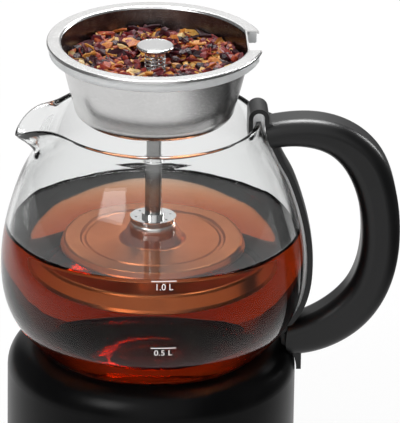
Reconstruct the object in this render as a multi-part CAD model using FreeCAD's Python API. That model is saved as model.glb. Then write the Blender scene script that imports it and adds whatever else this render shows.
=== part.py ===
import FreeCAD
import Part
import math
import os

# Automatic tea maker: a heating base, a glass jug with a handle, and a lift-out infuser.
# Millimetres. The origin is on the table under the centre of the base, +Z is up,
# the handle points along +X, the spout along -X and the buttons face -Y.

V = FreeCAD.Vector
UP = V(0, 0, 1)

# Driving dimensions of the heating base
BASE_R = 72.5
BASE_WALL = 2.6
SHOULDER_Z = 78.5
SHOULDER_R = 14.5
FOOT_H = 2.0
FOOT_R = 7.0
FOOT_SEAT = 1.0
FOOT_RING_R = 56.0
FOOT_CHAMFER = 0.8
COVER_T = 2.5
COVER_SCREW_L = 12.0
VENT_L = 26.0
VENT_W = 2.2
VENT_PITCH = 5.5
VENT_ROWS = 7
VENT_Y = -26.0
POST_R = 4.0
POST_RING_R = 61.0
POST_H = 14.0
POST_RIB_T = 2.0
PLATE_R = 54.3
PLATE_T = 2.0
PLATE_LIP = 2.0
LEDGE_T = 2.6
LEDGE_R = 49.5
SEAL_T = 1.0
SEAL_LIP_T = 2.8
SEAL_BULGE = 0.4
SEAL_SEAT_GAP = 0.2
SEAL_FOOT_GAP = 0.5
SPREADER_R = 44.0
SPREADER_T = 3.0
SENSOR_R = 7.0
SENSOR_FLANGE_T = 2.0
SENSOR_DROP = 0.2
HOLE_CLEAR = 0.2
ELEMENT_R = 33.0
ELEMENT_W = 7.0
ELEMENT_H = 6.0
ELEMENT_GAP_DEG = 50.0
PIN_R = 1.6
PIN_H = 12.0
PIN_ROOT = 2.0
PIN_SLEEVE = 1.5
PIN_DEG = 29.0
SHIELD_T = 0.8
SHIELD_WALL_R = 47.6
SHIELD_DEPTH = 15.0
SHIELD_FLANGE_W = 5.5
SHIELD_SCREW_IN = 2.6
SHIELD_SCREW_L = 1.8
SHIELD_SCREWS_DEG = 30.0
THERMOSTAT_R = 8.0
THERMOSTAT_EAR_W = 23.0
THERMOSTAT_EAR_D = 5.0
THERMOSTAT_EAR_T = 1.2
FUSE_R = 2.0
FUSE_L = 12.0
FUSE_X = 20.0
FUSE_Y = -3.0
FUSE_RISE = 2.6
FUSE_HOLDER = (4.0, 6.0, 3.4)

# Driving dimensions of the controls
FASCIA_DEG = 33.0
FASCIA_T = 2.4
FASCIA_Z = 24.0
FASCIA_H = 38.0
FASCIA_RIM = 3.0
FASCIA_RIM_GAP = 0.2
FASCIA_GAP = 0.15
FASCIA_LAP = 0.3
BUTTON_R = 6.4
BUTTON_PITCH = 22.0
BUTTON_Z = 38.0
BUTTON_PROUD = 0.6
BUTTON_FLANGE_R = 8.2
BUTTON_FLANGE_T = 1.5
BUTTON_TRAVEL = 1.2
BUTTON_DEPTH = 13.0
GUIDE_WALL = 1.9
STEM_R = 2.0
STEM_L = 1.4
SWITCH_W = 6.0
SWITCH_H = 3.5
PLUNGER_R = 1.7
PLUNGER_L = 1.2
LENS_R = 1.6
LENS_RISE = 14.0
LED_R = 1.5
LED_L = 2.6
BOARD_T = 1.6
BOARD_W = 68.0
BOARD_H = 34.0
BOARD_POST_R = 2.4
BOARD_POST_X_IN = 4.0
BOARD_POST_Z_IN = 3.5
BOARD_SCREW_R = 0.95
BOARD_SCREW_L = 5.0
BOARD_SCREW_HEAD_R = 2.2
BOARD_SCREW_HEAD_T = 1.4
BOARD_SCREW_HOLE_R = 1.0

# Driving dimensions of the power electronics and the cord inlet
POWER_BOARD_W = 76.0
POWER_BOARD_D = 52.0
POWER_BOARD_Y = 8.0
STANDOFF_R = 3.0
STANDOFF_H = 7.0
STANDOFF_IN = 5.0
POWER_SCREW_L = 5.0
RELAY = (20.0, 16.0, 15.0)
RELAY_IN = (18.0, 18.0)
TRANSFORMER = (28.0, 24.0, 20.0)
TRANSFORMER_IN = (24.0, 20.0)
CAPACITOR_R = 5.0
CAPACITOR_H = 16.0
CAPACITOR_IN = (18.0, 15.0)
TERMINAL = (24.0, 11.0, 12.0)
TERMINAL_IN = (32.0, 7.0)
GLAND_Z = 14.0
GLAND_R = 6.0
GLAND_FLANGE_R = 8.5
GLAND_PROUD = 3.0
GLAND_IN = 8.0
GLAND_NUT_T = 3.0
GLAND_NUT_GAP = 1.5
CORD_BORE_R = 3.2

# Screws
SCREW_R = 1.5
SCREW_HEAD_R = 2.9
SCREW_HEAD_T = 1.8
SCREW_CLEAR = 0.05

# Driving dimensions of the glass jug: heights above its foot, and radii
JUG_HEIGHTS = (0.0, 3.0, 8.0, 18.0, 30.0, 45.0, 60.0, 75.0, 90.0, 100.0, 108.0, 115.0, 122.0)
JUG_RADII = (53.4, 57.8, 63.0, 70.6, 74.8, 76.0, 74.7, 71.3, 66.2, 61.0, 57.3, 54.9, 53.0)
GLASS_T = 2.6
GLASS_BOTTOM_T = 3.0
SPOUT_START_H = 102.0
SPOUT_REACH = 26.0
SPOUT_NARROW_DEG = 6.0
SPOUT_WIDE_DEG = 16.0
SPOUT_WIDEN_H = 108.0
SPOUT_FLOOR_LIFT = 1.6
LIP_X = 55.0
LIP_R = 18.0

# Driving dimensions of the handle, in the plane y = 0
HANDLE_W = 22.0
HANDLE_ROUND = 6.5
STRAP_W = 16.0
STRAP_T = 2.8
LINER_T = 1.6
STRAP_TOP_H = 111.0
STRAP_FOOT_H = 7.0
CLIP_IN_X = 46.5
CLIP_TOP = 6.8
CLIP_DEPTH = 10.0
CLIP_T = 2.2
PRONG_W = 12.0
PRONG_T = 2.2
PRONG_DROP = 15.5
PRONG_CLEAR = 0.6
PRONG_ROOT_IN = 8.0
PRONG_ROOT_OUT = 4.0
GRIP_INNER = ((56.0, 197.0), (74.0, 198.7), (88.0, 193.8), (98.5, 180.0), (103.8, 160.0), (103.9, 142.0),
              (98.6, 124.5), (86.0, 111.3), (68.0, 103.2))
GRIP_SEAM = ((56.0, 204.5), (74.0, 206.2), (90.0, 202.5), (104.5, 190.0), (112.5, 168.0), (113.8, 146.0),
             (108.5, 124.0), (96.0, 107.0), (80.0, 97.6), (67.0, 94.0))
GRIP_OUTER = ((54.0, 211.0), (66.0, 213.2), (82.0, 213.2), (99.0, 207.6), (113.0, 194.8), (121.3, 173.0),
              (123.6, 148.0), (119.5, 123.0), (108.5, 103.5), (91.0, 90.6), (68.0, 85.8))
BRIDGE_T = 9.0
BRIDGE_SLOPE = 2.0
GRIP_SCREW_X = 82.0
GRIP_SCREW_L = 11.0
GRIP_WELL_H = 12.0
GRIP_HOLE_SPARE = 0.5
GRIP_SCREW_TOP_Z = 199.0
GRIP_SCREW_LOW_Z = 90.0

# Driving dimensions of the infuser
INFUSER_RAISE = 34.0
RING_DEPTH = 5.7
RING_R = 52.5
RING_BORE_GAP = 0.1
SHEET_T = 0.8
FLANGE_R = 53.7
FLANGE_TURN = 1.6
CUP_MOUTH_R = 46.4
CUP_MID_R = 43.3
CUP_MID_DROP = 18.0
CUP_ROUND = 4.7
CUP_FOOT_R = 39.2
CUP_DEPTH = 38.2
SIEVE_EDGE_R = 29.0
SIEVE_LAP = 2.5
SIEVE_T = 0.5
SIEVE_HOLE_R = 0.9
SIEVE_RINGS = 5
SIEVE_PITCH = 4.4
SIEVE_FIRST_R = 9.6
NOTCH_W = 26.0
NOTCH_X = 46.0
NOTCH_DROP = 4.0
DENT_H = 14.0
UPPER_TUBE_R = 3.7
LOWER_TUBE_R = 4.2
TUBE_WALL = 0.8
UNION_DROP = 25.9
UNION_R = 5.5
UNION_FLANGE_T = 0.8
UNION_SLEEVE_R = 4.7
UNION_H = 3.2
HUB_R = 7.5
HUB_H = 3.0
NUT_H = 3.0
DISC_R = 11.6
DISC_T = 2.6
DISC_DROP = 54.9
DISC_HOLES = 6
DISC_HOLE_R = 0.6
DISC_HOLE_RING_R = 9.0
BOSS_R = 5.75
BOSS_H = 2.2
BELL_R = 46.2
BELL_LIP = 1.0
BELL_SKIRT = 8.6
BELL_RING_R = 36.5
BELL_STEP = 2.4
BELL_INNER_RISE = 0.8
BELL_STEP_R = 34.2
BELL_FLAT_R = 17.0
BELL_NECK_R = 11.6
BELL_CLEAR = 0.8

# Driving dimensions of the knob and its spring
KNOB_R = 9.3
KNOB_EDGE_T = 1.7
KNOB_DOME = 0.9
KNOB_TOP_DROP = 1.4
KNOB_NECK_R = 5.2
KNOB_NECK_H = 3.0
SPRING_MEAN_R = 4.9
SPRING_WIRE_R = 0.42
SPRING_TURNS = 3.75
SPRING_H = 8.0
SPRING_END_GAP = 0.05
HEAD_R = 6.4
HEAD_T = 1.6
HEAD_SLEEVE_R = 4.8
HEAD_SLEEVE_H = 5.0
KNOB_STEM_R = 1.6
KNOB_STEM_L = 18.0
KNOB_GROOVE = 0.4
RUNNING_GAP = 0.05
CLIP_RING_R = 2.4
CLIP_RING_T = 0.8
CLIP_RING_GAP = 0.2
BODY_GAP = 0.3

# Heights that follow from the sizes above
COVER_Z = FOOT_H
BASE_TOP_Z = SHOULDER_Z + SHOULDER_R
PLATE_Z = BASE_TOP_Z - PLATE_LIP
SPREADER_TOP = PLATE_Z - PLATE_T
LEDGE_Z = SPREADER_TOP - SEAL_T
JUG_H = JUG_HEIGHTS[-1]
RIM_Z = PLATE_Z + JUG_H
RING_Z = RIM_Z + INFUSER_RAISE
FLANGE_Z = RING_Z + RING_DEPTH + SHEET_T
CUP_FLOOR_Z = FLANGE_Z - CUP_DEPTH
UNION_Z = CUP_FLOOR_Z - SHEET_T - UNION_DROP
DISC_Z = CUP_FLOOR_Z - SHEET_T - DISC_DROP
BELL_FOOT_Z = PLATE_Z + GLASS_BOTTOM_T + BELL_CLEAR + INFUSER_RAISE
KNOB_TOP_Z = FLANGE_Z - KNOB_TOP_DROP
KNOB_NECK_Z = KNOB_TOP_Z - KNOB_DOME - KNOB_EDGE_T - KNOB_NECK_H
HEAD_TOP_Z = KNOB_NECK_Z - SPRING_H
HEAD_Z = HEAD_TOP_Z - HEAD_T
WALL_IN_R = BASE_R - BASE_WALL
GUIDE_Y = -BASE_R + BUTTON_DEPTH
BOARD_Y = GUIDE_Y + BUTTON_FLANGE_T + STEM_L + BUTTON_TRAVEL + RUNNING_GAP * 2 + PLUNGER_L + SWITCH_H

solids = {}


def xz(point):
    """A point of the plane y = 0 from its distance along X and its height."""
    return V(point[0], 0, point[1])


def path(start, *steps):
    """Edges in the plane y = 0: a step of two numbers is a line, one of four an arc by its middle."""
    edges = []
    here = xz(start)
    for step in steps:
        there = xz(step[-2:])
        if len(step) == 2:
            edges.append(Part.LineSegment(here, there).toShape())
        else:
            edges.append(Part.Arc(here, xz(step[:2]), there).toShape())
        here = there
    return edges


def closed_face(edges):
    """The face inside a path, closed by a line where it is open."""
    first = edges[0].Vertexes[0].Point
    last = edges[-1].Vertexes[-1].Point
    if first.distanceToPoint(last) > 1e-6:
        edges = edges + [Part.LineSegment(last, first).toShape()]
    return Part.Face(Part.Wire(edges))


def turned(start, *steps):
    """A solid turned about the Z axis from its closed half outline."""
    return closed_face(path(start, *steps)).revolve(V(0, 0, 0), UP, 360)


def pressed(wall, start, *steps):
    """A sheet part turned about Z: the path is its outer skin, walked with the metal on the left."""
    strip = Part.Wire(path(start, *steps)).makeOffset2D(wall, 0, True, True, True)
    outline = Part.Wire(Part.sortEdges(strip.Edges)[0])
    return Part.Face(outline).revolve(V(0, 0, 0), UP, 360)


def rod(radius, low, high, x=0.0, y=0.0):
    """An upright cylinder from one height to another."""
    return Part.makeCylinder(radius, high - low, V(x, y, low))


def tube(outer, inner, low, high, x=0.0, y=0.0):
    """An upright tube from one height to another."""
    return rod(outer, low, high, x, y).cut(rod(inner, low - 1, high + 1, x, y))


def rod_y(radius, front, back, x, z):
    """A cylinder along Y."""
    return Part.makeCylinder(radius, back - front, V(x, front, z), V(0, 1, 0))


def block(width, depth, height, x, y, low):
    """A box centred on x and y, standing on a height."""
    return Part.makeBox(width, depth, height, V(x - width / 2, y - depth / 2, low))


def slab(edges, width):
    """A flat outline in the plane y = 0 made a solid of a width centred on that plane."""
    return closed_face(edges).translated(V(0, -width / 2, 0)).extrude(V(0, width, 0))


def around(count, radius, first_deg=0.0):
    """Points evenly spaced on a circle about the Z axis."""
    steps = [math.radians(first_deg + 360.0 * i / count) for i in range(count)]
    return [(radius * math.cos(a), radius * math.sin(a)) for a in steps]


def merged(first, *others):
    """One clean solid from several."""
    return first.fuse(list(others)).removeSplitter()


def keep(name, shape):
    """Store the solids of a node under its name."""
    solids[name] = Part.makeCompound(shape.Solids) if len(shape.Solids) > 1 else shape.Solids[0]


def smooth_edge(points):
    """One smooth edge through points of the plane y = 0."""
    curve = Part.BSplineCurve()
    curve.interpolate([xz(point) for point in points])
    return curve.toShape()


def link(edge, next_edge):
    """A straight edge from the end of one edge to the start of the next."""
    return Part.LineSegment(edge.Vertexes[-1].Point, next_edge.Vertexes[0].Point).toShape()


# Heating base


def sector(inner, outer, low, height, half_deg):
    """A curved plate about the Z axis that faces -Y."""
    angle = 2 * half_deg
    whole = Part.makeCylinder(outer, height, V(0, 0, low), UP, angle)
    core = Part.makeCylinder(inner, height + 2, V(0, 0, low - 1))
    plate = whole.cut(core)
    plate.rotate(V(0, 0, 0), UP, -90 - half_deg)
    return plate


def button_places():
    """The X of each button."""
    return (-BUTTON_PITCH, 0.0, BUTTON_PITCH)


def post_places():
    """Where the bottom cover is screwed to the housing."""
    return around(4, POST_RING_R, 45)


def base_housing():
    """The round outer shell with its shoulder, plate ledge, screw posts and openings."""
    centre_r = BASE_R - SHOULDER_R
    diagonal = math.sqrt(0.5)
    inner_r = SHOULDER_R - BASE_WALL
    lip_out = PLATE_R + SEAL_LIP_T + SEAL_SEAT_GAP
    skirt_r = lip_out + LEDGE_T
    skirt_z = SHOULDER_Z + math.sqrt(inner_r ** 2 - (skirt_r - centre_r) ** 2)
    sweep = math.asin((skirt_r - centre_r) / inner_r)
    middle = (sweep + math.pi / 2) / 2
    shell = turned(
        (BASE_R, COVER_Z), (BASE_R, SHOULDER_Z),
        (centre_r + SHOULDER_R * diagonal, SHOULDER_Z + SHOULDER_R * diagonal, centre_r, BASE_TOP_Z),
        (lip_out, BASE_TOP_Z - 0.8), (lip_out, LEDGE_Z), (LEDGE_R, LEDGE_Z), (LEDGE_R, LEDGE_Z - LEDGE_T),
        (skirt_r, LEDGE_Z - LEDGE_T), (skirt_r, skirt_z),
        (centre_r + inner_r * math.sin(middle), SHOULDER_Z + inner_r * math.cos(middle),
         WALL_IN_R, SHOULDER_Z),
        (WALL_IN_R, COVER_Z))
    top = COVER_Z + COVER_T + POST_H
    for x, y in post_places():
        post = rod(POST_R, COVER_Z + COVER_T, top, x, y)
        rib_x = (WALL_IN_R + POST_RING_R + 1) / 2
        rib = block(WALL_IN_R - POST_RING_R + 1, POST_RIB_T, POST_H, rib_x, 0, COVER_Z + COVER_T)
        rib.rotate(V(0, 0, 0), UP, math.degrees(math.atan2(y, x)))
        hole = rod(SCREW_R + SCREW_CLEAR, COVER_Z, top - 2, x, y)
        shell = shell.fuse([post, rib]).cut(hole)
    window = sector(WALL_IN_R - 1, BASE_R + 1, FASCIA_Z, FASCIA_H, FASCIA_DEG)
    inlet = rod_y(GLAND_R + SCREW_CLEAR, WALL_IN_R - 5, BASE_R + 5, 0, GLAND_Z)
    return shell.cut(window).cut(inlet).removeSplitter()


def bottom_cover():
    """The disc that closes the base, with vents, foot seats and standoffs for the power board."""
    cover = rod(WALL_IN_R - BODY_GAP, COVER_Z, COVER_Z + COVER_T)
    for x, y in post_places():
        cover = cover.cut(rod(SCREW_R + HOLE_CLEAR, COVER_Z - 1, COVER_Z + COVER_T + 1, x, y))
        cover = cover.cut(rod(SCREW_HEAD_R + HOLE_CLEAR, COVER_Z - 1, COVER_Z + SCREW_HEAD_T, x, y))
    for x, y in foot_places():
        cover = cover.cut(rod(FOOT_R, COVER_Z - 1, COVER_Z + FOOT_SEAT, x, y))
    for i in range(VENT_ROWS):
        vent_y = VENT_Y + (i - (VENT_ROWS - 1) / 2) * VENT_PITCH
        cover = cover.cut(block(VENT_L, VENT_W, COVER_T + 2, 0, vent_y, COVER_Z - 1))
    top = COVER_Z + COVER_T
    for x, y in standoff_places():
        post = tube(STANDOFF_R, SCREW_R + SCREW_CLEAR, top, top + STANDOFF_H, x, y)
        cover = cover.fuse(post)
    return cover.removeSplitter()


def foot_places():
    """Where the rubber feet sit: four near the rim and one under the middle."""
    return around(4, FOOT_RING_R) + [(0.0, 0.0)]


def standoff_places():
    """Where the power board is screwed down."""
    half_w = POWER_BOARD_W / 2 - STANDOFF_IN
    half_d = POWER_BOARD_D / 2 - STANDOFF_IN
    return [(sx * half_w, POWER_BOARD_Y + sy * half_d) for sx in (-1, 1) for sy in (-1, 1)]


def screw_down(head_top, length, x, y, up=1):
    """A pan head screw: its head starts at a height and its shank goes up or down from it."""
    if up > 0:
        return merged(rod(SCREW_HEAD_R, head_top, head_top + SCREW_HEAD_T, x, y),
                      rod(SCREW_R, head_top, head_top + length, x, y))
    return merged(rod(SCREW_HEAD_R, head_top - SCREW_HEAD_T, head_top, x, y),
                  rod(SCREW_R, head_top - length, head_top, x, y))


def build_shell():
    """The housing, its cover, feet and screws."""
    keep("base_housing", base_housing())
    keep("base_bottom_cover", bottom_cover())
    feet = []
    for x, y in foot_places():
        foot = rod(FOOT_R, 0, FOOT_H + FOOT_SEAT, x, y)
        sole = [edge for edge in foot.Edges if edge.BoundBox.ZMax < 0.01]
        feet.append(foot.makeChamfer(FOOT_CHAMFER, sole))
    keep("rubber_feet", Part.makeCompound(feet))
    screws = [screw_down(COVER_Z, COVER_SCREW_L, x, y) for x, y in post_places()]
    keep("cover_screws", Part.makeCompound(screws))


def build_heater():
    """The plate that the jug stands on and everything under it."""
    seal_in = LEDGE_R + SEAL_FOOT_GAP
    seal_out = PLATE_R + SEAL_LIP_T
    element_top = SPREADER_TOP - SPREADER_T
    sensor_hole = rod(SENSOR_R + HOLE_CLEAR, element_top - 1, PLATE_Z + 1)
    keep("heating_plate", rod(PLATE_R, SPREADER_TOP, PLATE_Z).cut(sensor_hole))
    keep("plate_seal", turned((seal_in, LEDGE_Z), (seal_out, LEDGE_Z), (seal_out, PLATE_Z + SEAL_BULGE),
                              (PLATE_R, PLATE_Z + SEAL_BULGE / 4), (PLATE_R, SPREADER_TOP),
                              (seal_in, SPREADER_TOP), (seal_in, LEDGE_Z)))
    keep("heat_spreader", rod(SPREADER_R, element_top, SPREADER_TOP).cut(sensor_hole))
    sensor_foot = element_top - SENSOR_FLANGE_T
    sensor_head = rod(SENSOR_R, sensor_foot, PLATE_Z - SENSOR_DROP)
    keep("temperature_sensor", merged(sensor_head, rod(THERMOSTAT_R, sensor_foot, element_top)))
    near, far = ELEMENT_R - ELEMENT_W / 2, ELEMENT_R + ELEMENT_W / 2
    middle = element_top - ELEMENT_H / 2
    section = closed_face(path((near, element_top), (far, element_top), (far, middle),
                               (ELEMENT_R, element_top - ELEMENT_H, near, middle), (near, element_top)))
    ring = section.revolve(V(0, 0, 0), UP, 360 - ELEMENT_GAP_DEG)
    ring.rotate(V(0, 0, 0), UP, 90 + ELEMENT_GAP_DEG / 2)
    turns = [math.radians(90 + side * PIN_DEG) for side in (-1, 1)]
    places = [(ELEMENT_R * math.cos(turn), ELEMENT_R * math.sin(turn)) for turn in turns]
    pins = [rod(PIN_R, element_top - PIN_H, element_top - PIN_ROOT, x, y) for x, y in places]
    keep("heating_element", merged(ring, *pins))
    build_shield(sensor_foot, places)


def build_shield(sensor_foot, pins):
    """The heat shield dish under the heater, with the thermostat and the fuse it carries."""
    flange_z = LEDGE_Z - LEDGE_T
    shield_r = LEDGE_R + SHIELD_FLANGE_W
    floor_z = flange_z - SHIELD_DEPTH
    flange_low = flange_z - SHIELD_T
    floor_top = floor_z + SHIELD_T
    shield = turned((SHIELD_WALL_R, flange_low), (shield_r, flange_low), (shield_r, flange_z),
                    (SHIELD_WALL_R - SHIELD_T, flange_z), (SHIELD_WALL_R - SHIELD_T, floor_top),
                    (0, floor_top), (0, floor_z), (SHIELD_WALL_R, floor_z), (SHIELD_WALL_R, flange_low))
    for x, y in pins:
        shield = shield.cut(rod(PIN_R + PIN_SLEEVE, floor_z - 1, floor_z + 2, x, y))
    screws = []
    for x, y in around(3, LEDGE_R + SHIELD_SCREW_IN, SHIELD_SCREWS_DEG):
        shield = shield.cut(rod(SCREW_R + HOLE_CLEAR, flange_z - 2, flange_z + 1, x, y))
        hole = rod(SCREW_R + SCREW_CLEAR, flange_z - 1, flange_z + SHIELD_SCREW_L + HOLE_CLEAR, x, y)
        solids["base_housing"] = solids["base_housing"].cut(hole)
        length = SCREW_HEAD_T + SHIELD_T + SHIELD_SCREW_L
        screws.append(screw_down(flange_low - SCREW_HEAD_T, length, x, y))
    keep("heat_shield", shield)
    keep("shield_screws", Part.makeCompound(screws))
    ears = block(THERMOSTAT_EAR_W, THERMOSTAT_EAR_D, THERMOSTAT_EAR_T, 0, 0, floor_top)
    keep("thermostat", merged(rod(THERMOSTAT_R, floor_top, sensor_foot - 1), ears))
    holder = block(*FUSE_HOLDER, FUSE_X, FUSE_Y, floor_top)
    fuse = rod_y(FUSE_R, FUSE_Y - FUSE_L / 2, FUSE_Y + FUSE_L / 2, FUSE_X, floor_top + FUSE_RISE)
    keep("thermal_fuse", merged(fuse, holder))


def board_post_places():
    """Where the control board is screwed to the fascia."""
    half_w = BOARD_W / 2 - BOARD_POST_X_IN
    half_h = BOARD_H / 2 - BOARD_POST_Z_IN
    centre = FASCIA_Z + FASCIA_H / 2
    return [(sx * half_w, centre + sz * half_h) for sx in (-1, 1) for sz in (-1, 1)]


def control_fascia():
    """The curved front panel with button guides, lamp holes and board posts."""
    plug_h = FASCIA_H - 2 * FASCIA_GAP
    plug = sector(WALL_IN_R - FASCIA_LAP, BASE_R, FASCIA_Z + FASCIA_GAP, plug_h, FASCIA_DEG - FASCIA_GAP)
    rim_deg = FASCIA_DEG + math.degrees(FASCIA_RIM / BASE_R)
    rim_out = WALL_IN_R - FASCIA_RIM_GAP
    rim_low = FASCIA_Z - FASCIA_RIM
    rim = sector(rim_out - FASCIA_T, rim_out, rim_low, FASCIA_H + 2 * FASCIA_RIM, rim_deg)
    fascia = plug.fuse(rim)
    hollow = rod(BASE_R - 0.5, 0, BASE_TOP_Z)
    for x in button_places():
        guide = rod_y(BUTTON_R + BODY_GAP + GUIDE_WALL, -BASE_R, GUIDE_Y, x, BUTTON_Z).common(hollow)
        fascia = fascia.fuse(guide)
    for x, z in board_post_places():
        post = rod_y(BOARD_POST_R, -BASE_R, BOARD_Y, x, z).common(hollow)
        fascia = fascia.fuse(post)
    for x in button_places():
        fascia = fascia.cut(rod_y(BUTTON_R + BODY_GAP, -BASE_R - 5, GUIDE_Y + 1, x, BUTTON_Z))
        fascia = fascia.cut(rod_y(LENS_R + SCREW_CLEAR, -BASE_R - 5, GUIDE_Y + 1, x, BUTTON_Z + LENS_RISE))
    for x, z in board_post_places():
        fascia = fascia.cut(rod_y(BOARD_SCREW_HOLE_R, BOARD_Y - BOARD_SCREW_L - 1, BOARD_Y + 1, x, z))
    return fascia.removeSplitter()


def build_controls():
    """The fascia, its buttons, lamps and the board behind them."""
    keep("control_fascia", control_fascia())
    proud = rod(BASE_R + BUTTON_PROUD, 0, BASE_TOP_Z)
    flange_end = GUIDE_Y + BUTTON_FLANGE_T
    for name, x in zip(("brew_button", "power_button", "warm_button"), button_places()):
        cap = rod_y(BUTTON_R, -BASE_R - 3, flange_end, x, BUTTON_Z).common(proud)
        flange = rod_y(BUTTON_FLANGE_R, GUIDE_Y, flange_end, x, BUTTON_Z)
        stem = rod_y(STEM_R, flange_end, flange_end + STEM_L, x, BUTTON_Z)
        keep(name, merged(cap, flange, stem))
    flush = rod(BASE_R + 0.1, 0, BASE_TOP_Z)
    lenses = []
    lamps = []
    switches = []
    for x in button_places():
        z = BUTTON_Z + LENS_RISE
        lenses.append(rod_y(LENS_R, -BASE_R - 3, BOARD_Y - LED_L - 0.2, x, z).common(flush))
        lamps.append(rod_y(LED_R, BOARD_Y - LED_L, BOARD_Y, x, z))
        body = block(SWITCH_W, SWITCH_H, SWITCH_W, x, BOARD_Y - SWITCH_H / 2, BUTTON_Z - SWITCH_W / 2)
        nose = rod_y(PLUNGER_R, BOARD_Y - SWITCH_H - PLUNGER_L, BOARD_Y - SWITCH_H, x, BUTTON_Z)
        switches.append(merged(body, nose))
    keep("indicator_lenses", Part.makeCompound(lenses))
    keep("indicator_leds", Part.makeCompound(lamps))
    keep("button_switches", Part.makeCompound(switches))
    centre = FASCIA_Z + FASCIA_H / 2
    board = block(BOARD_W, BOARD_T, BOARD_H, 0, BOARD_Y + BOARD_T / 2, centre - BOARD_H / 2)
    screws = []
    back = BOARD_Y + BOARD_T
    for x, z in board_post_places():
        board = board.cut(rod_y(BOARD_SCREW_HOLE_R + HOLE_CLEAR, BOARD_Y - 1, back + 1, x, z))
        screws.append(merged(rod_y(BOARD_SCREW_R, BOARD_Y - BOARD_SCREW_L, back, x, z),
                             rod_y(BOARD_SCREW_HEAD_R, back, back + BOARD_SCREW_HEAD_T, x, z)))
    keep("control_board", board)
    keep("board_screws", Part.makeCompound(screws))


def on_board(inset, side_x, side_y):
    """Where a part's middle is on the power board, from its distances to two of the edges."""
    x = side_x * (POWER_BOARD_W / 2 - inset[0])
    return x, POWER_BOARD_Y + side_y * (POWER_BOARD_D / 2 - inset[1])


def build_power():
    """The power board with its parts, the terminal block and the cord inlet."""
    board_z = COVER_Z + COVER_T + STANDOFF_H
    board = block(POWER_BOARD_W, POWER_BOARD_D, BOARD_T, 0, POWER_BOARD_Y, board_z)
    screws = []
    for x, y in standoff_places():
        board = board.cut(rod(SCREW_R + HOLE_CLEAR, board_z - 1, board_z + BOARD_T + 1, x, y))
        length = SCREW_HEAD_T + BOARD_T + POWER_SCREW_L
        screws.append(screw_down(board_z + BOARD_T + SCREW_HEAD_T, length, x, y, -1))
    keep("power_board", board)
    keep("power_board_screws", Part.makeCompound(screws))
    top = board_z + BOARD_T
    keep("relay", block(*RELAY, *on_board(RELAY_IN, -1, -1), top))
    keep("transformer", block(*TRANSFORMER, *on_board(TRANSFORMER_IN, 1, -1), top))
    keep("capacitor", rod(CAPACITOR_R, top, top + CAPACITOR_H, *on_board(CAPACITOR_IN, -1, 1)))
    keep("terminal_block", block(*TERMINAL, *on_board(TERMINAL_IN, 1, 1), top))
    bush = rod_y(GLAND_R, WALL_IN_R - GLAND_IN, BASE_R + GLAND_PROUD, 0, GLAND_Z)
    collar = rod_y(GLAND_FLANGE_R, BASE_R - 2, BASE_R + GLAND_PROUD, 0, GLAND_Z)
    collar = collar.cut(rod(BASE_R, 0, BASE_TOP_Z))
    nut_y = WALL_IN_R - GLAND_NUT_GAP
    nut = rod_y(GLAND_FLANGE_R, nut_y - GLAND_NUT_T, nut_y, 0, GLAND_Z)
    gland = merged(bush, collar, nut).cut(rod_y(CORD_BORE_R, WALL_IN_R - 20, BASE_R + 20, 0, GLAND_Z))
    keep("cord_gland", gland)


# Glass jug and handle


def glide(values, places, at):
    """A smooth curve through values at places, read at one place."""
    last = len(places) - 1
    if at <= places[0]:
        return values[0] + (at - places[0]) * (values[1] - values[0]) / (places[1] - places[0])
    if at >= places[last]:
        fall = (values[last] - values[last - 1]) / (places[last] - places[last - 1])
        return values[last] + (at - places[last]) * fall
    i = max(k for k in range(last) if places[k] <= at)
    span = places[i + 1] - places[i]
    rise = (values[i + 1] - values[i]) / span
    before = rise if i == 0 else (values[i + 1] - values[i - 1]) / (places[i + 1] - places[i - 1])
    after = rise if i + 1 == last else (values[i + 2] - values[i]) / (places[i + 2] - places[i])
    t = (at - places[i]) / span
    return (values[i] * (1 + 2 * t) * (1 - t) ** 2 + before * span * t * (1 - t) ** 2
            + values[i + 1] * t * t * (3 - 2 * t) - after * span * t * t * (1 - t))


def jug_radius(height):
    """The outer radius of the round glass at a height above its foot."""
    return glide(JUG_RADII, JUG_HEIGHTS, height)


def spout_push(height, off_deg):
    """How far the glass is drawn out at a height and an angle off the spout's middle."""
    t = min(max((height - SPOUT_START_H) / (JUG_H - SPOUT_START_H), 0.0), 1.0)
    grow = min(max((height - SPOUT_WIDEN_H) / (JUG_H - SPOUT_WIDEN_H), 0.0), 1.0) ** 1.5
    width = SPOUT_NARROW_DEG + (SPOUT_WIDE_DEG - SPOUT_NARROW_DEG) * grow
    return SPOUT_REACH * t * t * (3 - 2 * t) * math.exp(-(off_deg / width) ** 2)


def jug_ring(height, inset, floor_lift):
    """A closed level outline of the glass, more finely stepped round the spout."""
    half = 20
    points = []
    for i in range(-half, half):
        share = i / half
        off = 180.0 * math.copysign(abs(share) ** 1.8, share)
        radius = jug_radius(height) - inset + spout_push(height - floor_lift, off)
        angle = math.radians(180 + off)
        points.append(V(radius * math.cos(angle), radius * math.sin(angle), PLATE_Z + height))
    curve = Part.BSplineCurve()
    curve.interpolate(points, PeriodicFlag=True)
    return Part.Wire(curve.toShape())


def ring_heights(lowest, highest):
    """Heights of the outlines: close together at the foot and at the spout."""
    foot = [lowest + d for d in (0.0, 1.5, 3.0, 5.5, 9.0)]
    belly = [15.0 + 7.5 * i for i in range(12)]
    neck = [SPOUT_START_H + 2.5 * i for i in range(int((highest - SPOUT_START_H) / 2.5))]
    return foot + belly + neck + [highest]


def round_glass(extra):
    """The round body without its spout, grown by a distance, as a solid of revolution."""
    heights = [0.0, 3.0] + [8.0 + 6.0 * i for i in range(19)] + [JUG_H]
    points = [V(jug_radius(h) + extra, 0, PLATE_Z + h) for h in heights]
    curve = Part.BSplineCurve()
    curve.interpolate(points)
    top = points[-1].z
    low = points[0]
    edges = [curve.toShape()] + path((points[-1].x, top), (0, top), (0, low.z), (low.x, low.z))
    return Part.Face(Part.Wire(edges)).revolve(V(0, 0, 0), UP, 360)


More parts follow.
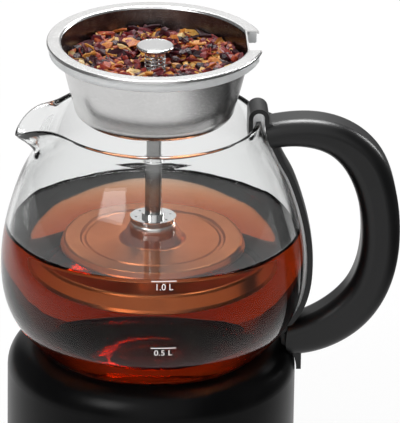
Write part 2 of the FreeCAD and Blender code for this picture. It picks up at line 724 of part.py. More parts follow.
def glass_jug():
    """The blown jug: drawn-out spout, open mouth, lip that dips towards the tip."""
    spare = 4.0
    outer = Part.makeLoft([jug_ring(h, 0, 0) for h in ring_heights(0, JUG_H + spare)], True, False)
    inner_heights = ring_heights(GLASS_BOTTOM_T, JUG_H + spare + 1)
    inner = Part.makeLoft([jug_ring(h, GLASS_T, SPOUT_FLOOR_LIFT) for h in inner_heights], True, False)
    far = 120.0
    lip_low = RIM_Z - LIP_R
    corner = math.sqrt(0.5) * LIP_R
    above = path((far, RIM_Z), (-LIP_X, RIM_Z), (-LIP_X - corner, lip_low + corner, -LIP_X - LIP_R, lip_low),
                 (-far, lip_low), (-far, RIM_Z + far), (far, RIM_Z + far), (far, RIM_Z))
    return outer.cut(inner).cut(slab(above, 2 * far))


def clip_outline(grow, leg_low, outer_x):
    """Edges of the inverted U that goes over the glass rim, grown outwards by a distance."""
    left = CLIP_IN_X + CLIP_T - grow
    right = outer_x + grow
    radius = (right - left) / 2
    top = RIM_Z + CLIP_TOP - CLIP_T + grow
    spring_z = top - radius
    return path((left, leg_low), (left, spring_z), ((left + right) / 2, top, right, spring_z),
                (right, leg_low), (left, leg_low))


def grip_half(low_points, high_points, rounded_points):
    """One moulded half of the grip between two smooth lines, rounded along one of them."""
    low = smooth_edge(low_points)
    high = smooth_edge(tuple(reversed(high_points)))
    half = slab([low, link(low, high), high, link(high, low)], HANDLE_W)
    middle = rounded_points[len(rounded_points) // 2]
    chosen = [edge for edge in half.Edges if edge.BoundBox.YLength < 1e-3
              and edge.distToShape(Part.Vertex(middle[0], edge.BoundBox.YMin, middle[1]))[0] < 0.01]
    return half.makeFillet(HANDLE_ROUND, chosen)


def strap_band(inner, outer, width, low_h, high_h):
    """A curved band that follows the round glass down its handle side."""
    window = Part.makeBox(120, width, high_h - low_h, V(20, -width / 2, PLATE_Z + low_h))
    return round_glass(outer).cut(round_glass(inner)).common(window)


def over_base():
    """The space that the base takes up with a clearance over it."""
    centre_r = BASE_R - SHOULDER_R
    reach = SHOULDER_R + PRONG_CLEAR
    diagonal = math.sqrt(0.5) * reach
    low = SHOULDER_Z - 2 * PRONG_DROP
    return turned((0, low), (centre_r + reach, low), (centre_r + reach, SHOULDER_Z),
                  (centre_r + diagonal, SHOULDER_Z + diagonal, centre_r, SHOULDER_Z + reach),
                  (0, SHOULDER_Z + reach), (0, low))


def prong():
    """The hook under the handle that reaches over the shoulder of the base."""
    inner = BASE_R + PRONG_CLEAR
    outer = inner + PRONG_T
    tip_z = BASE_TOP_Z - PRONG_DROP
    root_in = inner - PRONG_ROOT_IN
    root_out = outer + PRONG_ROOT_OUT
    edges = path((inner - PRONG_T, tip_z), (outer, tip_z), (outer, BASE_TOP_Z - PRONG_ROOT_OUT),
                 (root_out, BASE_TOP_Z - 1), (root_out, BASE_TOP_Z + PRONG_ROOT_OUT),
                 (root_in, BASE_TOP_Z + PRONG_ROOT_OUT), (root_in, BASE_TOP_Z - PRONG_ROOT_IN),
                 (inner - PRONG_T, tip_z))
    return slab(edges, PRONG_W)


def build_jug():
    """The glass, the handle halves, the liner between them and the handle screws."""
    glass = glass_jug()
    keep("glass_jug", glass)
    strap_in = LINER_T
    strap_out = LINER_T + STRAP_T
    strap = strap_band(strap_in, strap_out, STRAP_W, STRAP_FOOT_H, STRAP_TOP_H)
    rim_out = jug_radius(JUG_H)
    leg_low = RIM_Z - CLIP_DEPTH
    outer_x = rim_out + LINER_T
    clip_out = slab(clip_outline(CLIP_T, leg_low, outer_x), STRAP_W)
    clip_in = slab(clip_outline(0, leg_low - 1, outer_x), STRAP_W + 2)
    glass_side = round_glass(strap_in).fuse(over_base())
    wall_space = round_glass(strap_in).cut(round_glass(-GLASS_T - SCREW_CLEAR))
    bridge_low = leg_low - 2 * BRIDGE_SLOPE
    bridge_out = rim_out + BRIDGE_T
    bridge = slab(path((rim_out, bridge_low), (bridge_out, bridge_low),
                       (bridge_out, RIM_Z - 1.5 * BRIDGE_SLOPE), (rim_out + BRIDGE_SLOPE, RIM_Z),
                       (rim_out, bridge_low)), STRAP_W)
    inner_half = grip_half(GRIP_INNER, GRIP_SEAM, GRIP_INNER)
    outer_half = grip_half(GRIP_SEAM, GRIP_OUTER, GRIP_OUTER)
    trimmed = [shape.cut(glass_side).cut(clip_in) for shape in (inner_half, outer_half, prong(), bridge)]
    band_zone = round_glass(strap_out).common(Part.makeBox(120, STRAP_W, JUG_H, V(20, -STRAP_W / 2, PLATE_Z)))
    clip = clip_out.cut(clip_in).cut(wall_space)
    body = merged(strap, clip, trimmed[0], trimmed[2], trimmed[3])
    cover = trimmed[1].cut([band_zone, clip_out, prong(), bridge])
    screws = []
    for head_z in (GRIP_SCREW_TOP_Z, GRIP_SCREW_LOW_Z):
        well = rod(SCREW_HEAD_R + BODY_GAP, head_z - GRIP_WELL_H, head_z, GRIP_SCREW_X)
        hole = rod(SCREW_R + SCREW_CLEAR, head_z - 1, head_z + GRIP_SCREW_L + GRIP_HOLE_SPARE, GRIP_SCREW_X)
        body = body.cut([hole, well])
        cover = cover.cut([hole, well])
        screws.append(merged(rod(SCREW_HEAD_R, head_z - SCREW_HEAD_T, head_z, GRIP_SCREW_X),
                             rod(SCREW_R, head_z - SCREW_HEAD_T, head_z + GRIP_SCREW_L, GRIP_SCREW_X)))
    keep("handle_body", body)
    keep("handle_cover", cover)
    keep("handle_screws", Part.makeCompound(screws))
    build_liner(glass, outer_x, leg_low)


def build_liner(glass, outer_x, leg_low):
    """The soft translucent liner between the glass and the handle."""
    band = strap_band(SCREW_CLEAR, LINER_T, STRAP_W - 2, STRAP_FOOT_H, STRAP_TOP_H)
    cap = slab(clip_outline(-SCREW_CLEAR, leg_low + 1, outer_x), STRAP_W - 2)
    rim_r = jug_radius(JUG_H)
    slot = tube(rim_r + SCREW_CLEAR, rim_r - GLASS_T - SCREW_CLEAR, leg_low - 5, RIM_Z + SCREW_CLEAR)
    liner = band.fuse(cap.cut(slot)).cut(glass)
    keep("handle_liner", liner)


# Infuser


def notch_tool(extra=0.0):
    """The space of the notch that lets the handle clip through the rim of the infuser."""
    low = RING_Z - NOTCH_DROP
    return Part.makeBox(20, NOTCH_W, FLANGE_Z - low + 5, V(NOTCH_X - extra, -NOTCH_W / 2, low))


def tea_basket():
    """The pressed cup with its flat rim, turned edge, dented notch and open bottom."""
    top = FLANGE_Z
    floor = CUP_FLOOR_Z
    cup = pressed(SHEET_T, (FLANGE_R, top - FLANGE_TURN), (FLANGE_R, top - 0.6),
                  (FLANGE_R - 0.2, top - 0.2, FLANGE_R - 0.7, top),
                  (CUP_MOUTH_R + 1.8, top), (CUP_MOUTH_R + 0.5, top - 0.5, CUP_MOUTH_R, top - 1.8),
                  (CUP_MID_R, top - CUP_MID_DROP, CUP_FOOT_R, floor + CUP_ROUND),
                  (CUP_FOOT_R - 1.3, floor + 1.5, CUP_FOOT_R - 4.3, floor), (SIEVE_EDGE_R, floor))
    inside = turned((0, floor + 2), (CUP_FOOT_R - 2, floor + 2), (CUP_FOOT_R, floor + CUP_ROUND),
                    (CUP_MID_R, top - CUP_MID_DROP, CUP_MOUTH_R, top - 1.8), (CUP_MOUTH_R + 1.8, top),
                    (CUP_MOUTH_R + 1.8, top + 1), (0, top + 1), (0, floor + 2))
    tool = notch_tool()
    dent = Part.makeBox(SHEET_T, NOTCH_W, DENT_H, V(NOTCH_X - SHEET_T, -NOTCH_W / 2, top - DENT_H))
    dent = dent.common(inside.fuse(cup))
    return cup.cut(tool).fuse(dent).removeSplitter()


def sieve():
    """The perforated disc in the bottom of the basket."""
    edge = SIEVE_EDGE_R + SIEVE_LAP
    disc = tube(edge, UPPER_TUBE_R, CUP_FLOOR_Z, CUP_FLOOR_Z + SIEVE_T)
    holes = []
    for ring in range(SIEVE_RINGS):
        radius = SIEVE_FIRST_R + ring * SIEVE_PITCH
        for x, y in around(int(2 * math.pi * radius / SIEVE_PITCH), radius, 7.0 * ring):
            holes.append(rod(SIEVE_HOLE_R, CUP_FLOOR_Z - 1, CUP_FLOOR_Z + 1, x, y))
    return disc.cut(holes)


def build_basket():
    """The basket, the silicone ring round it and its sieve."""
    cup = tea_basket()
    keep("tea_basket", cup)
    bore = CUP_MOUTH_R + SHEET_T + RING_BORE_GAP
    low, high = RING_Z, FLANGE_Z - SHEET_T
    ring = turned((bore, low + 0.4), (bore + 1.2, low), (RING_R - 0.6, low), (RING_R, low + 0.6),
                  (RING_R, high), (bore + 2.4, high), (bore, high - 2.4), (bore, low + 0.4))
    keep("basket_gasket", ring.cut(notch_tool(2)))
    keep("basket_sieve", sieve())
    keep("basket_hub", tube(HUB_R, UPPER_TUBE_R, CUP_FLOOR_Z + SIEVE_T, CUP_FLOOR_Z + SIEVE_T + HUB_H))
    keep("basket_nut", tube(HUB_R - 0.5, UPPER_TUBE_R, CUP_FLOOR_Z - NUT_H, CUP_FLOOR_Z))


def build_riser():
    """The two riser tubes, their union, and the bell with its clamp disc and nuts."""
    bore_up = UPPER_TUBE_R - TUBE_WALL
    bore_low = LOWER_TUBE_R - TUBE_WALL
    union_low = UNION_Z
    seat = union_low + UNION_FLANGE_T
    keep("upper_riser_tube", tube(UPPER_TUBE_R, bore_up, seat, HEAD_Z))
    union = merged(rod(UNION_R, union_low, seat), rod(UNION_SLEEVE_R, seat, union_low + UNION_H))
    union = union.cut(rod(UPPER_TUBE_R, seat, union_low + UNION_H + 1))
    union = union.cut(rod(bore_up, union_low - 1, seat + 1))
    keep("tube_union", union)
    bell_top = DISC_Z - DISC_T
    keep("lower_riser_tube", tube(LOWER_TUBE_R, bore_low, bell_top - SHEET_T - NUT_H - 1.0, union_low))
    disc = tube(DISC_R, LOWER_TUBE_R, bell_top, DISC_Z)
    for x, y in around(DISC_HOLES, DISC_HOLE_RING_R, 15):
        disc = disc.cut(rod(DISC_HOLE_R, bell_top - 1, DISC_Z + 1, x, y))
    keep("clamp_disc", disc)
    keep("riser_boss", tube(BOSS_R, LOWER_TUBE_R, DISC_Z, DISC_Z + BOSS_H))
    keep("bell_nut", tube(HUB_R - 0.5, LOWER_TUBE_R, bell_top - SHEET_T - NUT_H, bell_top - SHEET_T))
    keep("riser_bell", riser_bell(bell_top))


def riser_bell(bell_top):
    """The stepped bell that stands over the jug's bottom when the infuser is let down."""
    foot = BELL_FOOT_Z + SHEET_T
    ring_z = foot + BELL_SKIRT
    skirt_r = BELL_R - BELL_LIP
    round_r = 1.8
    low_z = ring_z - BELL_STEP
    flat_z = low_z + BELL_INNER_RISE
    return pressed(SHEET_T, (BELL_R, foot), (skirt_r, foot + 1.2), (skirt_r, ring_z - round_r),
                   (skirt_r - 0.5, ring_z - 0.5, skirt_r - round_r, ring_z), (BELL_RING_R, ring_z),
                   (BELL_RING_R - 1, low_z), (BELL_STEP_R, low_z), (BELL_STEP_R - 1, flat_z),
                   (BELL_FLAT_R, flat_z), (BELL_FLAT_R - 1.6, flat_z + 0.8, BELL_FLAT_R - 2.4, flat_z + 2.6),
                   (BELL_NECK_R, bell_top - 1.4),
                   (BELL_NECK_R - 0.4, bell_top - 0.4, BELL_NECK_R - 1.4, bell_top),
                   (LOWER_TUBE_R, bell_top))


# Knob


def biarc(start, start_dir, end, end_dir):
    """Two arcs that leave one point and reach another in the given directions."""
    span = end - start
    both = start_dir + end_dir
    a = 2 * (1 - start_dir.dot(end_dir))
    b = 2 * span.dot(both)
    reach = (-b + math.sqrt(b * b + 4 * a * span.dot(span))) / (2 * a)
    first = start + start_dir * reach
    second = end - end_dir * reach
    joint = (first + second) * 0.5
    arcs = []
    for low, corner, high in ((start, first, joint), (joint, second, end)):
        weight = low.distanceToPoint(high) / 2 / low.distanceToPoint(corner)
        middle = (low + high + corner * (2 * weight)) * (1 / (2 + 2 * weight))
        arcs.append(Part.Arc(low, middle, high).toShape())
    return arcs


def coil_point(turns, low, rise):
    """A point of the spring's centre line after a number of turns, and its direction."""
    a = 2 * math.pi * turns
    point = V(SPRING_MEAN_R * math.cos(a), SPRING_MEAN_R * math.sin(a), low + rise * turns)
    ahead = V(-SPRING_MEAN_R * 2 * math.pi * math.sin(a), SPRING_MEAN_R * 2 * math.pi * math.cos(a), rise)
    return point, ahead.normalize()


def knob_spring():
    """The compression spring between the spray head and the knob, one unbroken wire."""
    low = HEAD_TOP_Z + SPRING_WIRE_R + SPRING_END_GAP
    rise = (SPRING_H - 2 * (SPRING_WIRE_R + SPRING_END_GAP)) / SPRING_TURNS
    quarters = int(SPRING_TURNS * 4)
    places = [coil_point(i / 4, low, rise) for i in range(quarters + 1)]
    edges = []
    for (here, here_dir), (there, there_dir) in zip(places, places[1:]):
        edges += biarc(here, here_dir, there, there_dir)
    ring = Part.Circle(places[0][0], places[0][1], SPRING_WIRE_R).toShape()
    fine = [coil_point(i / 60, low, rise)[0] for i in range(int(SPRING_TURNS * 60) + 1)]
    gap = min(a.distanceToPoint(b) for i, a in enumerate(fine) for b in fine[i + 30:]) - 2 * SPRING_WIRE_R
    print("least gap between the turns of the knob spring: %.2f mm" % gap)
    return Part.Wire(edges).makePipeShell([Part.Wire(ring)], True, False)


def build_knob():
    """The knob, its stem and retaining ring, the spring and the spray head that guides them."""
    edge_top = KNOB_TOP_Z - KNOB_DOME
    under = edge_top - KNOB_EDGE_T
    knob = turned((0, KNOB_TOP_Z),
                  (KNOB_R * 0.5, KNOB_TOP_Z - KNOB_DOME * 0.22, KNOB_R - 0.7, edge_top + 0.1),
                  (KNOB_R - 0.1, edge_top - 0.4, KNOB_R, edge_top - 0.9), (KNOB_R - 0.6, under),
                  (KNOB_NECK_R + 0.9, under), (KNOB_NECK_R, under - 0.8), (KNOB_NECK_R, KNOB_NECK_Z + 0.3),
                  (KNOB_NECK_R - 0.3, KNOB_NECK_Z), (KNOB_STEM_R, KNOB_NECK_Z), (KNOB_STEM_R, under),
                  (0, under), (0, KNOB_TOP_Z))
    keep("knob", knob)
    stem_low = KNOB_NECK_Z - KNOB_STEM_L
    ring_top = HEAD_Z - CLIP_RING_GAP
    groove = tube(KNOB_STEM_R + 1, KNOB_STEM_R - KNOB_GROOVE, ring_top - CLIP_RING_T, ring_top)
    keep("knob_stem", rod(KNOB_STEM_R, stem_low, under).cut(groove))
    keep("stem_ring", tube(CLIP_RING_R, KNOB_STEM_R - KNOB_GROOVE, ring_top - CLIP_RING_T, ring_top))
    head = merged(rod(HEAD_R, HEAD_Z, HEAD_TOP_Z), rod(HEAD_SLEEVE_R, HEAD_Z - HEAD_SLEEVE_H, HEAD_Z))
    head = head.cut(rod(UPPER_TUBE_R, HEAD_Z - HEAD_SLEEVE_H - 1, HEAD_Z))
    head = head.cut(rod(KNOB_STEM_R + RUNNING_GAP, HEAD_Z - 1, HEAD_TOP_Z + 1))
    keep("spray_head", head)
    keep("knob_spring", knob_spring())


build_shell()
build_heater()
build_controls()
build_power()
build_jug()
build_basket()
build_riser()
build_knob()

os.makedirs("parts", exist_ok=True)
for name, shape in solids.items():
    count = len(shape.Solids)
    print("%-22s solids %d valid %s volume %.1f" % (name, count, shape.isValid(), shape.Volume))
    shape.exportStep("parts/" + name + ".step")
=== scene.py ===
"""Looks of an automatic tea maker: glass jug, tea, handle, steel infuser and heating base."""

from __future__ import annotations

import logging
import math
import random
from dataclasses import dataclass, field
from enum import Enum
from typing import Callable, Iterable, Sequence

import bmesh
import bpy
from mathutils import Matrix, Vector


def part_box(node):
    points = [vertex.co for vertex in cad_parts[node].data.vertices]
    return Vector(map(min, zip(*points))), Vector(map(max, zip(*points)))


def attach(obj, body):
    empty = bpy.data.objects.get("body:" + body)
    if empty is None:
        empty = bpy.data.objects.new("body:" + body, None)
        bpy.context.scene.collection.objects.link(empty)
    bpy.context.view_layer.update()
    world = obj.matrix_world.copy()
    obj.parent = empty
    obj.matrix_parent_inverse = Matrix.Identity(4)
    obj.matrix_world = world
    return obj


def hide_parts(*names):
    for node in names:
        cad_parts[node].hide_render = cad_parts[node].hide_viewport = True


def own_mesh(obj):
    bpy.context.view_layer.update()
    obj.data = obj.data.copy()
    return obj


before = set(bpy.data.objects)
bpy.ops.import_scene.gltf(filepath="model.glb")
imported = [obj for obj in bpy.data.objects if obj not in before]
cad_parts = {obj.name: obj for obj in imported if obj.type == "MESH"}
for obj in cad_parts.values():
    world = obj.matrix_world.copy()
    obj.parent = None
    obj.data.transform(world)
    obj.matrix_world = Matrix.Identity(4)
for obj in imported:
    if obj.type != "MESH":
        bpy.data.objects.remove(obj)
log = logging.getLogger("tea_maker")

MM = 0.001
Point = tuple[float, float]
Colour = tuple[float, float, float]


def high(node: str) -> float:
    """The top of a CAD node, in millimetres."""
    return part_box(node)[1].z / MM


def low(node: str) -> float:
    """The underside of a CAD node, in millimetres."""
    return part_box(node)[0].z / MM


class Value:
    """A socket of a shader that can be used in a Python expression."""

    def __init__(self, recipe: "Recipe", socket: bpy.types.NodeSocket) -> None:
        """Keeps the socket and the recipe that its sums are added to."""
        self.recipe = recipe
        self.socket = socket

    def sum(self, operation: str, *others: "Value | float") -> "Value":
        """Adds one Math node.

        Args:
            operation: the Math node's operation.
            others: the values after this one.

        Returns:
            The node's result.
        """
        return self.recipe.node("ShaderNodeMath", {"operation": operation}, dict(enumerate((self, *others))))

    def __add__(self, other: "Value | float") -> "Value":
        """This value plus another."""
        return self.sum("ADD", other)

    def __radd__(self, other: float) -> "Value":
        """A number plus this value."""
        return self.sum("ADD", other)

    def __mul__(self, other: "Value | float") -> "Value":
        """This value times another."""
        return self.sum("MULTIPLY", other)

    def __rmul__(self, other: float) -> "Value":
        """A number times this value."""
        return self.sum("MULTIPLY", other)

    def __sub__(self, other: "Value | float") -> "Value":
        """This value less another."""
        return self.sum("SUBTRACT", other)

    def __rsub__(self, other: float) -> "Value":
        """A number less this value."""
        return (self * -1.0) + other

    def __pow__(self, other: float) -> "Value":
        """This value to a power."""
        return self.sum("POWER", other)


class Recipe:
    """The node tree of one material or of the world."""

    def __init__(self, tree: bpy.types.NodeTree) -> None:
        """Empties the tree."""
        self.tree = tree
        tree.nodes.clear()

    def node(self, kind: str, settings: dict[str, object], inputs: dict[str | int, object],
             output: str | int = 0) -> Value:
        """Adds one node.

        Args:
            kind: the node's type.
            settings: its properties, set before its sockets. The stops of a ramp go under "stops".
            inputs: a value, or a link, for each socket by name or number.
            output: the socket that is handed back.

        Returns:
            The chosen output.
        """
        made = self.tree.nodes.new(kind)
        for name, value in settings.items():
            if name == "stops":
                self._stops(made.color_ramp, value)
            else:
                setattr(made, name, value)
        for name, value in inputs.items():
            if isinstance(value, Value):
                self.tree.links.new(value.socket, made.inputs[name])
            else:
                made.inputs[name].default_value = value
        return Value(self, made.outputs[output] if made.outputs else None)

    @staticmethod
    def _stops(ramp: bpy.types.ColorRamp, stops: Sequence[tuple[float, Colour]]) -> None:
        """Gives a ramp its stops.

        Args:
            ramp: the ramp.
            stops: each stop's place and colour.
        """
        while len(ramp.elements) < len(stops):
            ramp.elements.new(1.0)
        for element, (place, colour) in zip(ramp.elements, stops):
            element.position = place
            element.color = (*colour, 1.0)

    def place(self) -> Value:
        """The point on the piece, in the frame's own coordinates."""
        return self.node("ShaderNodeTexCoord", {}, {}, "Object")

    def part_of(self, vector: Value, axis: str) -> Value:
        """One coordinate of a vector."""
        return self.node("ShaderNodeSeparateXYZ", {}, {0: vector}, axis)

    def noise(self, vector: Value, per_mm: float, detail: float = 2.0, rough: float = 0.5) -> Value:
        """Noise between 0 and 1.

        Args:
            vector: where it is read.
            per_mm: how many times it changes in a millimetre.
            detail: its octaves.
            rough: how strong the fine octaves are.

        Returns:
            The noise.
        """
        return self.node("ShaderNodeTexNoise", {}, {"Vector": vector, "Scale": per_mm / MM, "Detail": detail,
                                                    "Roughness": rough}, "Fac")

    def ramp(self, fac: Value, stops: Sequence[tuple[float, Colour]]) -> Value:
        """A colour that follows a value."""
        return self.node("ShaderNodeValToRGB", {"stops": stops}, {0: fac}, "Color")

    def mix(self, share: Value, first: object, second: object) -> Value:
        """A colour between two colours."""
        return self.node("ShaderNodeMix", {"data_type": "RGBA"}, {0: share, 6: first, 7: second}, 2)

    def bump(self, height: Value, depth_mm: float, strength: float = 1.0, onto: Value | None = None) -> Value:
        """A normal that is tilted by a height.

        Args:
            height: the height from 0 to 1.
            depth_mm: how deep that is.
            strength: the share of it that shows.
            onto: a normal that is already tilted.

        Returns:
            The normal.
        """
        inputs: dict[str | int, object] = {"Height": height, "Distance": depth_mm * MM, "Strength": strength}
        if onto:
            inputs["Normal"] = onto
        return self.node("ShaderNodeBump", {}, inputs, "Normal")

    def turned(self, around: float, outwards: float, upwards: float) -> Value:
        """Coordinates for marks that run round the upright axis.

        Args:
            around: the scale along the circle.
            outwards: the scale across it, away from the axis.
            upwards: the scale along the axis.

        Returns:
            A vector to read a texture at.
        """
        place = self.place()
        x = self.part_of(place, "X")
        y = self.part_of(place, "Y")
        z = self.part_of(place, "Z")
        angle = y.sum("ARCTAN2", x)
        radius = (x * x + y * y) ** 0.5
        return self.node("ShaderNodeCombineXYZ", {}, {"X": angle * (around * 0.05), "Y": radius * outwards,
                                                      "Z": z * upwards})

    def two_part(self, level: float, below: float, above: float, inputs: dict[str | int, object],
                 outputs: dict[str | int, object]) -> None:
        """A clear shader that mirrors one share of the light below a level and another above it.

        Args:
            level: the height where it changes, in millimetres.
            below: the share mirrored below it.
            above: the share mirrored above it.
            inputs: the sockets that both parts share.
            outputs: what else is joined to the material's output.
        """
        parts = [self.node("ShaderNodeBsdfPrincipled", {},
                           {**inputs, "Specular Tint": (share, share, share, 1.0)}, "BSDF")
                 for share in (below, above)]
        higher = self.part_of(self.place(), "Z").sum("GREATER_THAN", level * MM)
        mixed = self.node("ShaderNodeMixShader", {}, {0: higher, 1: parts[0], 2: parts[1]}, "Shader")
        self.node("ShaderNodeOutputMaterial", {}, {"Surface": mixed, **outputs})

    def surface(self, inputs: dict[str | int, object]) -> Value:
        """The Principled shader, joined to the material's output."""
        shader = self.node("ShaderNodeBsdfPrincipled", {}, inputs, "BSDF")
        self.node("ShaderNodeOutputMaterial", {}, {"Surface": shader})
        return shader


@dataclass(frozen=True)
class Finish:
    """What a surface is made of. Each kind fills in its own recipe."""

    name: str

    def fill(self, recipe: Recipe) -> None:
        """Adds the nodes of this finish."""
        raise NotImplementedError

    def material(self) -> bpy.types.Material:
        """The material of this finish, made once."""
        found = bpy.data.materials.get("tm_" + self.name)
        if found:
            return found
        made = bpy.data.materials.new("tm_" + self.name)
        made.use_nodes = True
        self.fill(Recipe(made.node_tree))
        return made


@dataclass(frozen=True)
class Moulded(Finish):
    """Moulded plastic or rubber with a fine spark-eroded grain."""

    dark: Colour
    light: Colour
    rough: float
    grain_mm: float = 0.35
    depth_mm: float = 0.02
    rough_spread: float = 0.08
    shine: float = 0.2

    def fill(self, recipe: Recipe) -> None:
        """Grain in the normal, faint clouds in the colour and in the roughness."""
        place = recipe.place()
        clouds = recipe.noise(place, 0.05, 3.0)
        grain = recipe.noise(place, 1.0 / self.grain_mm, 2.0, 0.6)
        recipe.surface({
            "Base Color": recipe.ramp(clouds, ((0.35, self.dark), (0.65, self.light))),
            "Roughness": clouds * self.rough_spread + (self.rough - self.rough_spread / 2),
            "Specular IOR Level": self.shine,
            "Normal": recipe.bump(grain, self.depth_mm, 0.6)})


class Lay(Enum):
    """Which way the fine lines of a brushed surface run."""

    ROUND = (0.6, 9.0, 9.0)
    UPRIGHT = (120.0, 9.0, 0.15)
    FINE = (2.0, 14.0, 14.0)


@dataclass(frozen=True)
class Brushed(Finish):
    """Brushed or polished metal whose fine lines run round the axis or along it."""

    dark: Colour
    light: Colour
    rough: float
    lay: Lay = Lay.ROUND
    line_depth_mm: float = 0.006
    rough_spread: float = 0.1

    def fill(self, recipe: Recipe) -> None:
        """Lines in the normal, the roughness and, faintly, the colour."""
        lines = recipe.noise(recipe.turned(*self.lay.value), 1.0, 3.0, 0.7)
        clouds = recipe.noise(recipe.place(), 0.08, 2.0)
        plain = recipe.ramp(lines * 0.6 + clouds * 0.4, ((0.3, self.dark), (0.7, self.light)))
        recipe.surface({
            "Base Color": self.tone(recipe, plain),
            "Metallic": 1.0,
            "Roughness": lines * self.rough_spread + (self.rough - self.rough_spread / 2),
            "Normal": recipe.bump(lines, self.line_depth_mm, 0.5)})

    def tone(self, recipe: Recipe, plain: Value) -> Value:
        """The colour of the metal, here the same all over."""
        return plain


@dataclass(frozen=True)
class ReflectionPaintedCup(Brushed):
    """Brushed steel whose inner wall carries a painted dark reflection of the tea leaves."""

    painted_reflection: Colour = (0.045, 0.014, 0.008)
    foot: Point = (39.2, 220.0)
    mouth: Point = (46.4, 251.7)
    bulge: float = 0.6
    half_wall: float = 0.4
    over_mouth: float = 0.6
    cloud: Point = (0.3, 0.7)

    def tone(self, recipe: Recipe, plain: Value) -> Value:
        """The plain steel outside and a painted dark reflection inside.

        Args:
            recipe: the recipe that it is part of.
            plain: the colour of the plain steel.

        Returns:
            The colour.
        """
        place = recipe.place()
        x = recipe.part_of(place, "X")
        y = recipe.part_of(place, "Y")
        z = recipe.part_of(place, "Z") * (1.0 / MM)
        radius = (x * x + y * y) ** 0.5 * (1.0 / MM)
        rise = (z - self.foot[1]) * (1.0 / (self.mouth[1] - self.foot[1]))
        belly = (rise * (1.0 - rise)) * (4.0 * self.bulge)
        wall = rise * (self.mouth[0] - self.foot[0]) + belly + (self.foot[0] + self.half_wall)
        # Painted reflection: inside the wall and below the mouth the steel is darkened, in clouds, as if it
        # mirrored the tea leaves.
        within = (wall - radius).sum("GREATER_THAN", 0.0)
        under_mouth = (self.mouth[1] + self.over_mouth - z).sum("GREATER_THAN", 0.0)
        spread, least = self.cloud
        cloud = recipe.noise(place, 0.25, 3.0) * spread + least
        return recipe.mix(within * under_mouth * cloud, plain, (*self.painted_reflection, 1.0))


@dataclass(frozen=True)
class BlownGlass(Finish):
    """Clear glass with the faint waves of a blown wall."""

    tint: Colour = (0.985, 0.992, 0.99)
    ior: float = 1.47
    tea_level: float = 155.0
    # wet: the share mirrored below the tea level by both faces, a painted shade; only the inner face is
    # really wet.
    wet: float = 0.14
    dry: float = 0.42

    def fill(self, recipe: Recipe) -> None:
        """Long shallow waves and a trace of wear. Below the tea level both faces mirror less: painted shade
        that dims the reflections over the tea, though only the inner face is wet.
        """
        place = recipe.place()
        waves = recipe.noise(place, 0.03, 1.0)
        wear = recipe.noise(place, 0.4, 2.0)
        recipe.two_part(self.tea_level, self.wet, self.dry, {
            "Base Color": (*self.tint, 1.0), "Transmission Weight": 1.0, "IOR": self.ior,
            "Roughness": wear * 0.006, "Normal": recipe.bump(waves, 0.25, 0.25)}, {})


@dataclass(frozen=True)
class BrewedTea(Finish):
    """Clear red-brown tea that darkens with depth."""

    kept: Colour = (0.75, 0.35, 0.0)
    density: float = 56.0
    ior: float = 1.33
    level: float = 155.0
    on_wall: float = 0.12
    on_top: float = 0.3

    def fill(self, recipe: Recipe) -> None:
        """A still surface with a trace of ripple, over an absorbing body."""
        ripple = recipe.noise(recipe.place(), 0.05, 1.0)
        body = recipe.node("ShaderNodeVolumeAbsorption", {},
                           {"Color": (*self.kept, 1.0), "Density": self.density})
        recipe.two_part(self.level - 0.1, self.on_wall, self.on_top, {
            "Base Color": (1.0, 0.97, 0.94, 1.0), "Transmission Weight": 1.0, "IOR": self.ior,
            "Roughness": ripple * 0.01, "Normal": recipe.bump(ripple, 0.15, 0.2)}, {"Volume": body})


@dataclass(frozen=True)
class Silicone(Finish):
    """Milky silicone that lets some light through."""

    milk: Colour = (0.86, 0.87, 0.88)
    clear: Colour = (0.95, 0.96, 0.96)
    through: float = 0.55

    def fill(self, recipe: Recipe) -> None:
        """Soft clouds and a matt skin."""
        place = recipe.place()
        clouds = recipe.noise(place, 0.12, 2.0)
        recipe.surface({
            "Base Color": recipe.ramp(clouds, ((0.3, self.milk), (0.7, self.clear))),
            "Transmission Weight": self.through, "IOR": 1.41, "Roughness": clouds * 0.1 + 0.32,
            "Normal": recipe.bump(recipe.noise(place, 2.0), 0.01, 0.5)})


@dataclass(frozen=True)
class DriedFruit(Finish):
    """Dried fruit, petals and berries, each chip with a tint of its own."""

    def fill(self, recipe: Recipe) -> None:
        """The chip's tint picks the colour, and wrinkles darken and roughen it."""
        place = recipe.place()
        tint = recipe.node("ShaderNodeAttribute", {"attribute_name": "tint"}, {}, "Fac")
        mottle = recipe.noise(place, 0.7, 4.0, 0.65)
        stops = ((0.0, (0.01, 0.003, 0.007)), (0.24, (0.05, 0.004, 0.012)), (0.4, (0.2, 0.01, 0.02)),
                 (0.54, (0.42, 0.05, 0.016)), (0.68, (0.62, 0.2, 0.026)), (0.84, (0.8, 0.44, 0.09)),
                 (1.0, (0.86, 0.7, 0.38)))
        recipe.surface({
            "Base Color": recipe.ramp(tint + (mottle - 0.5) * 0.34, stops),
            "Roughness": mottle * 0.35 + 0.35,
            "Normal": recipe.bump(mottle, 0.5, 0.8)})


@dataclass(frozen=True)
class Printed(Finish):
    """White ceramic ink fired onto the glass."""

    def fill(self, recipe: Recipe) -> None:
        """Slightly uneven cover."""
        cover = recipe.noise(recipe.place(), 1.5, 2.0)
        recipe.surface({
            "Base Color": recipe.ramp(cover, ((0.2, (0.8, 0.78, 0.77)), (0.7, (0.93, 0.92, 0.91)))),
            "Roughness": cover * 0.2 + 0.35})


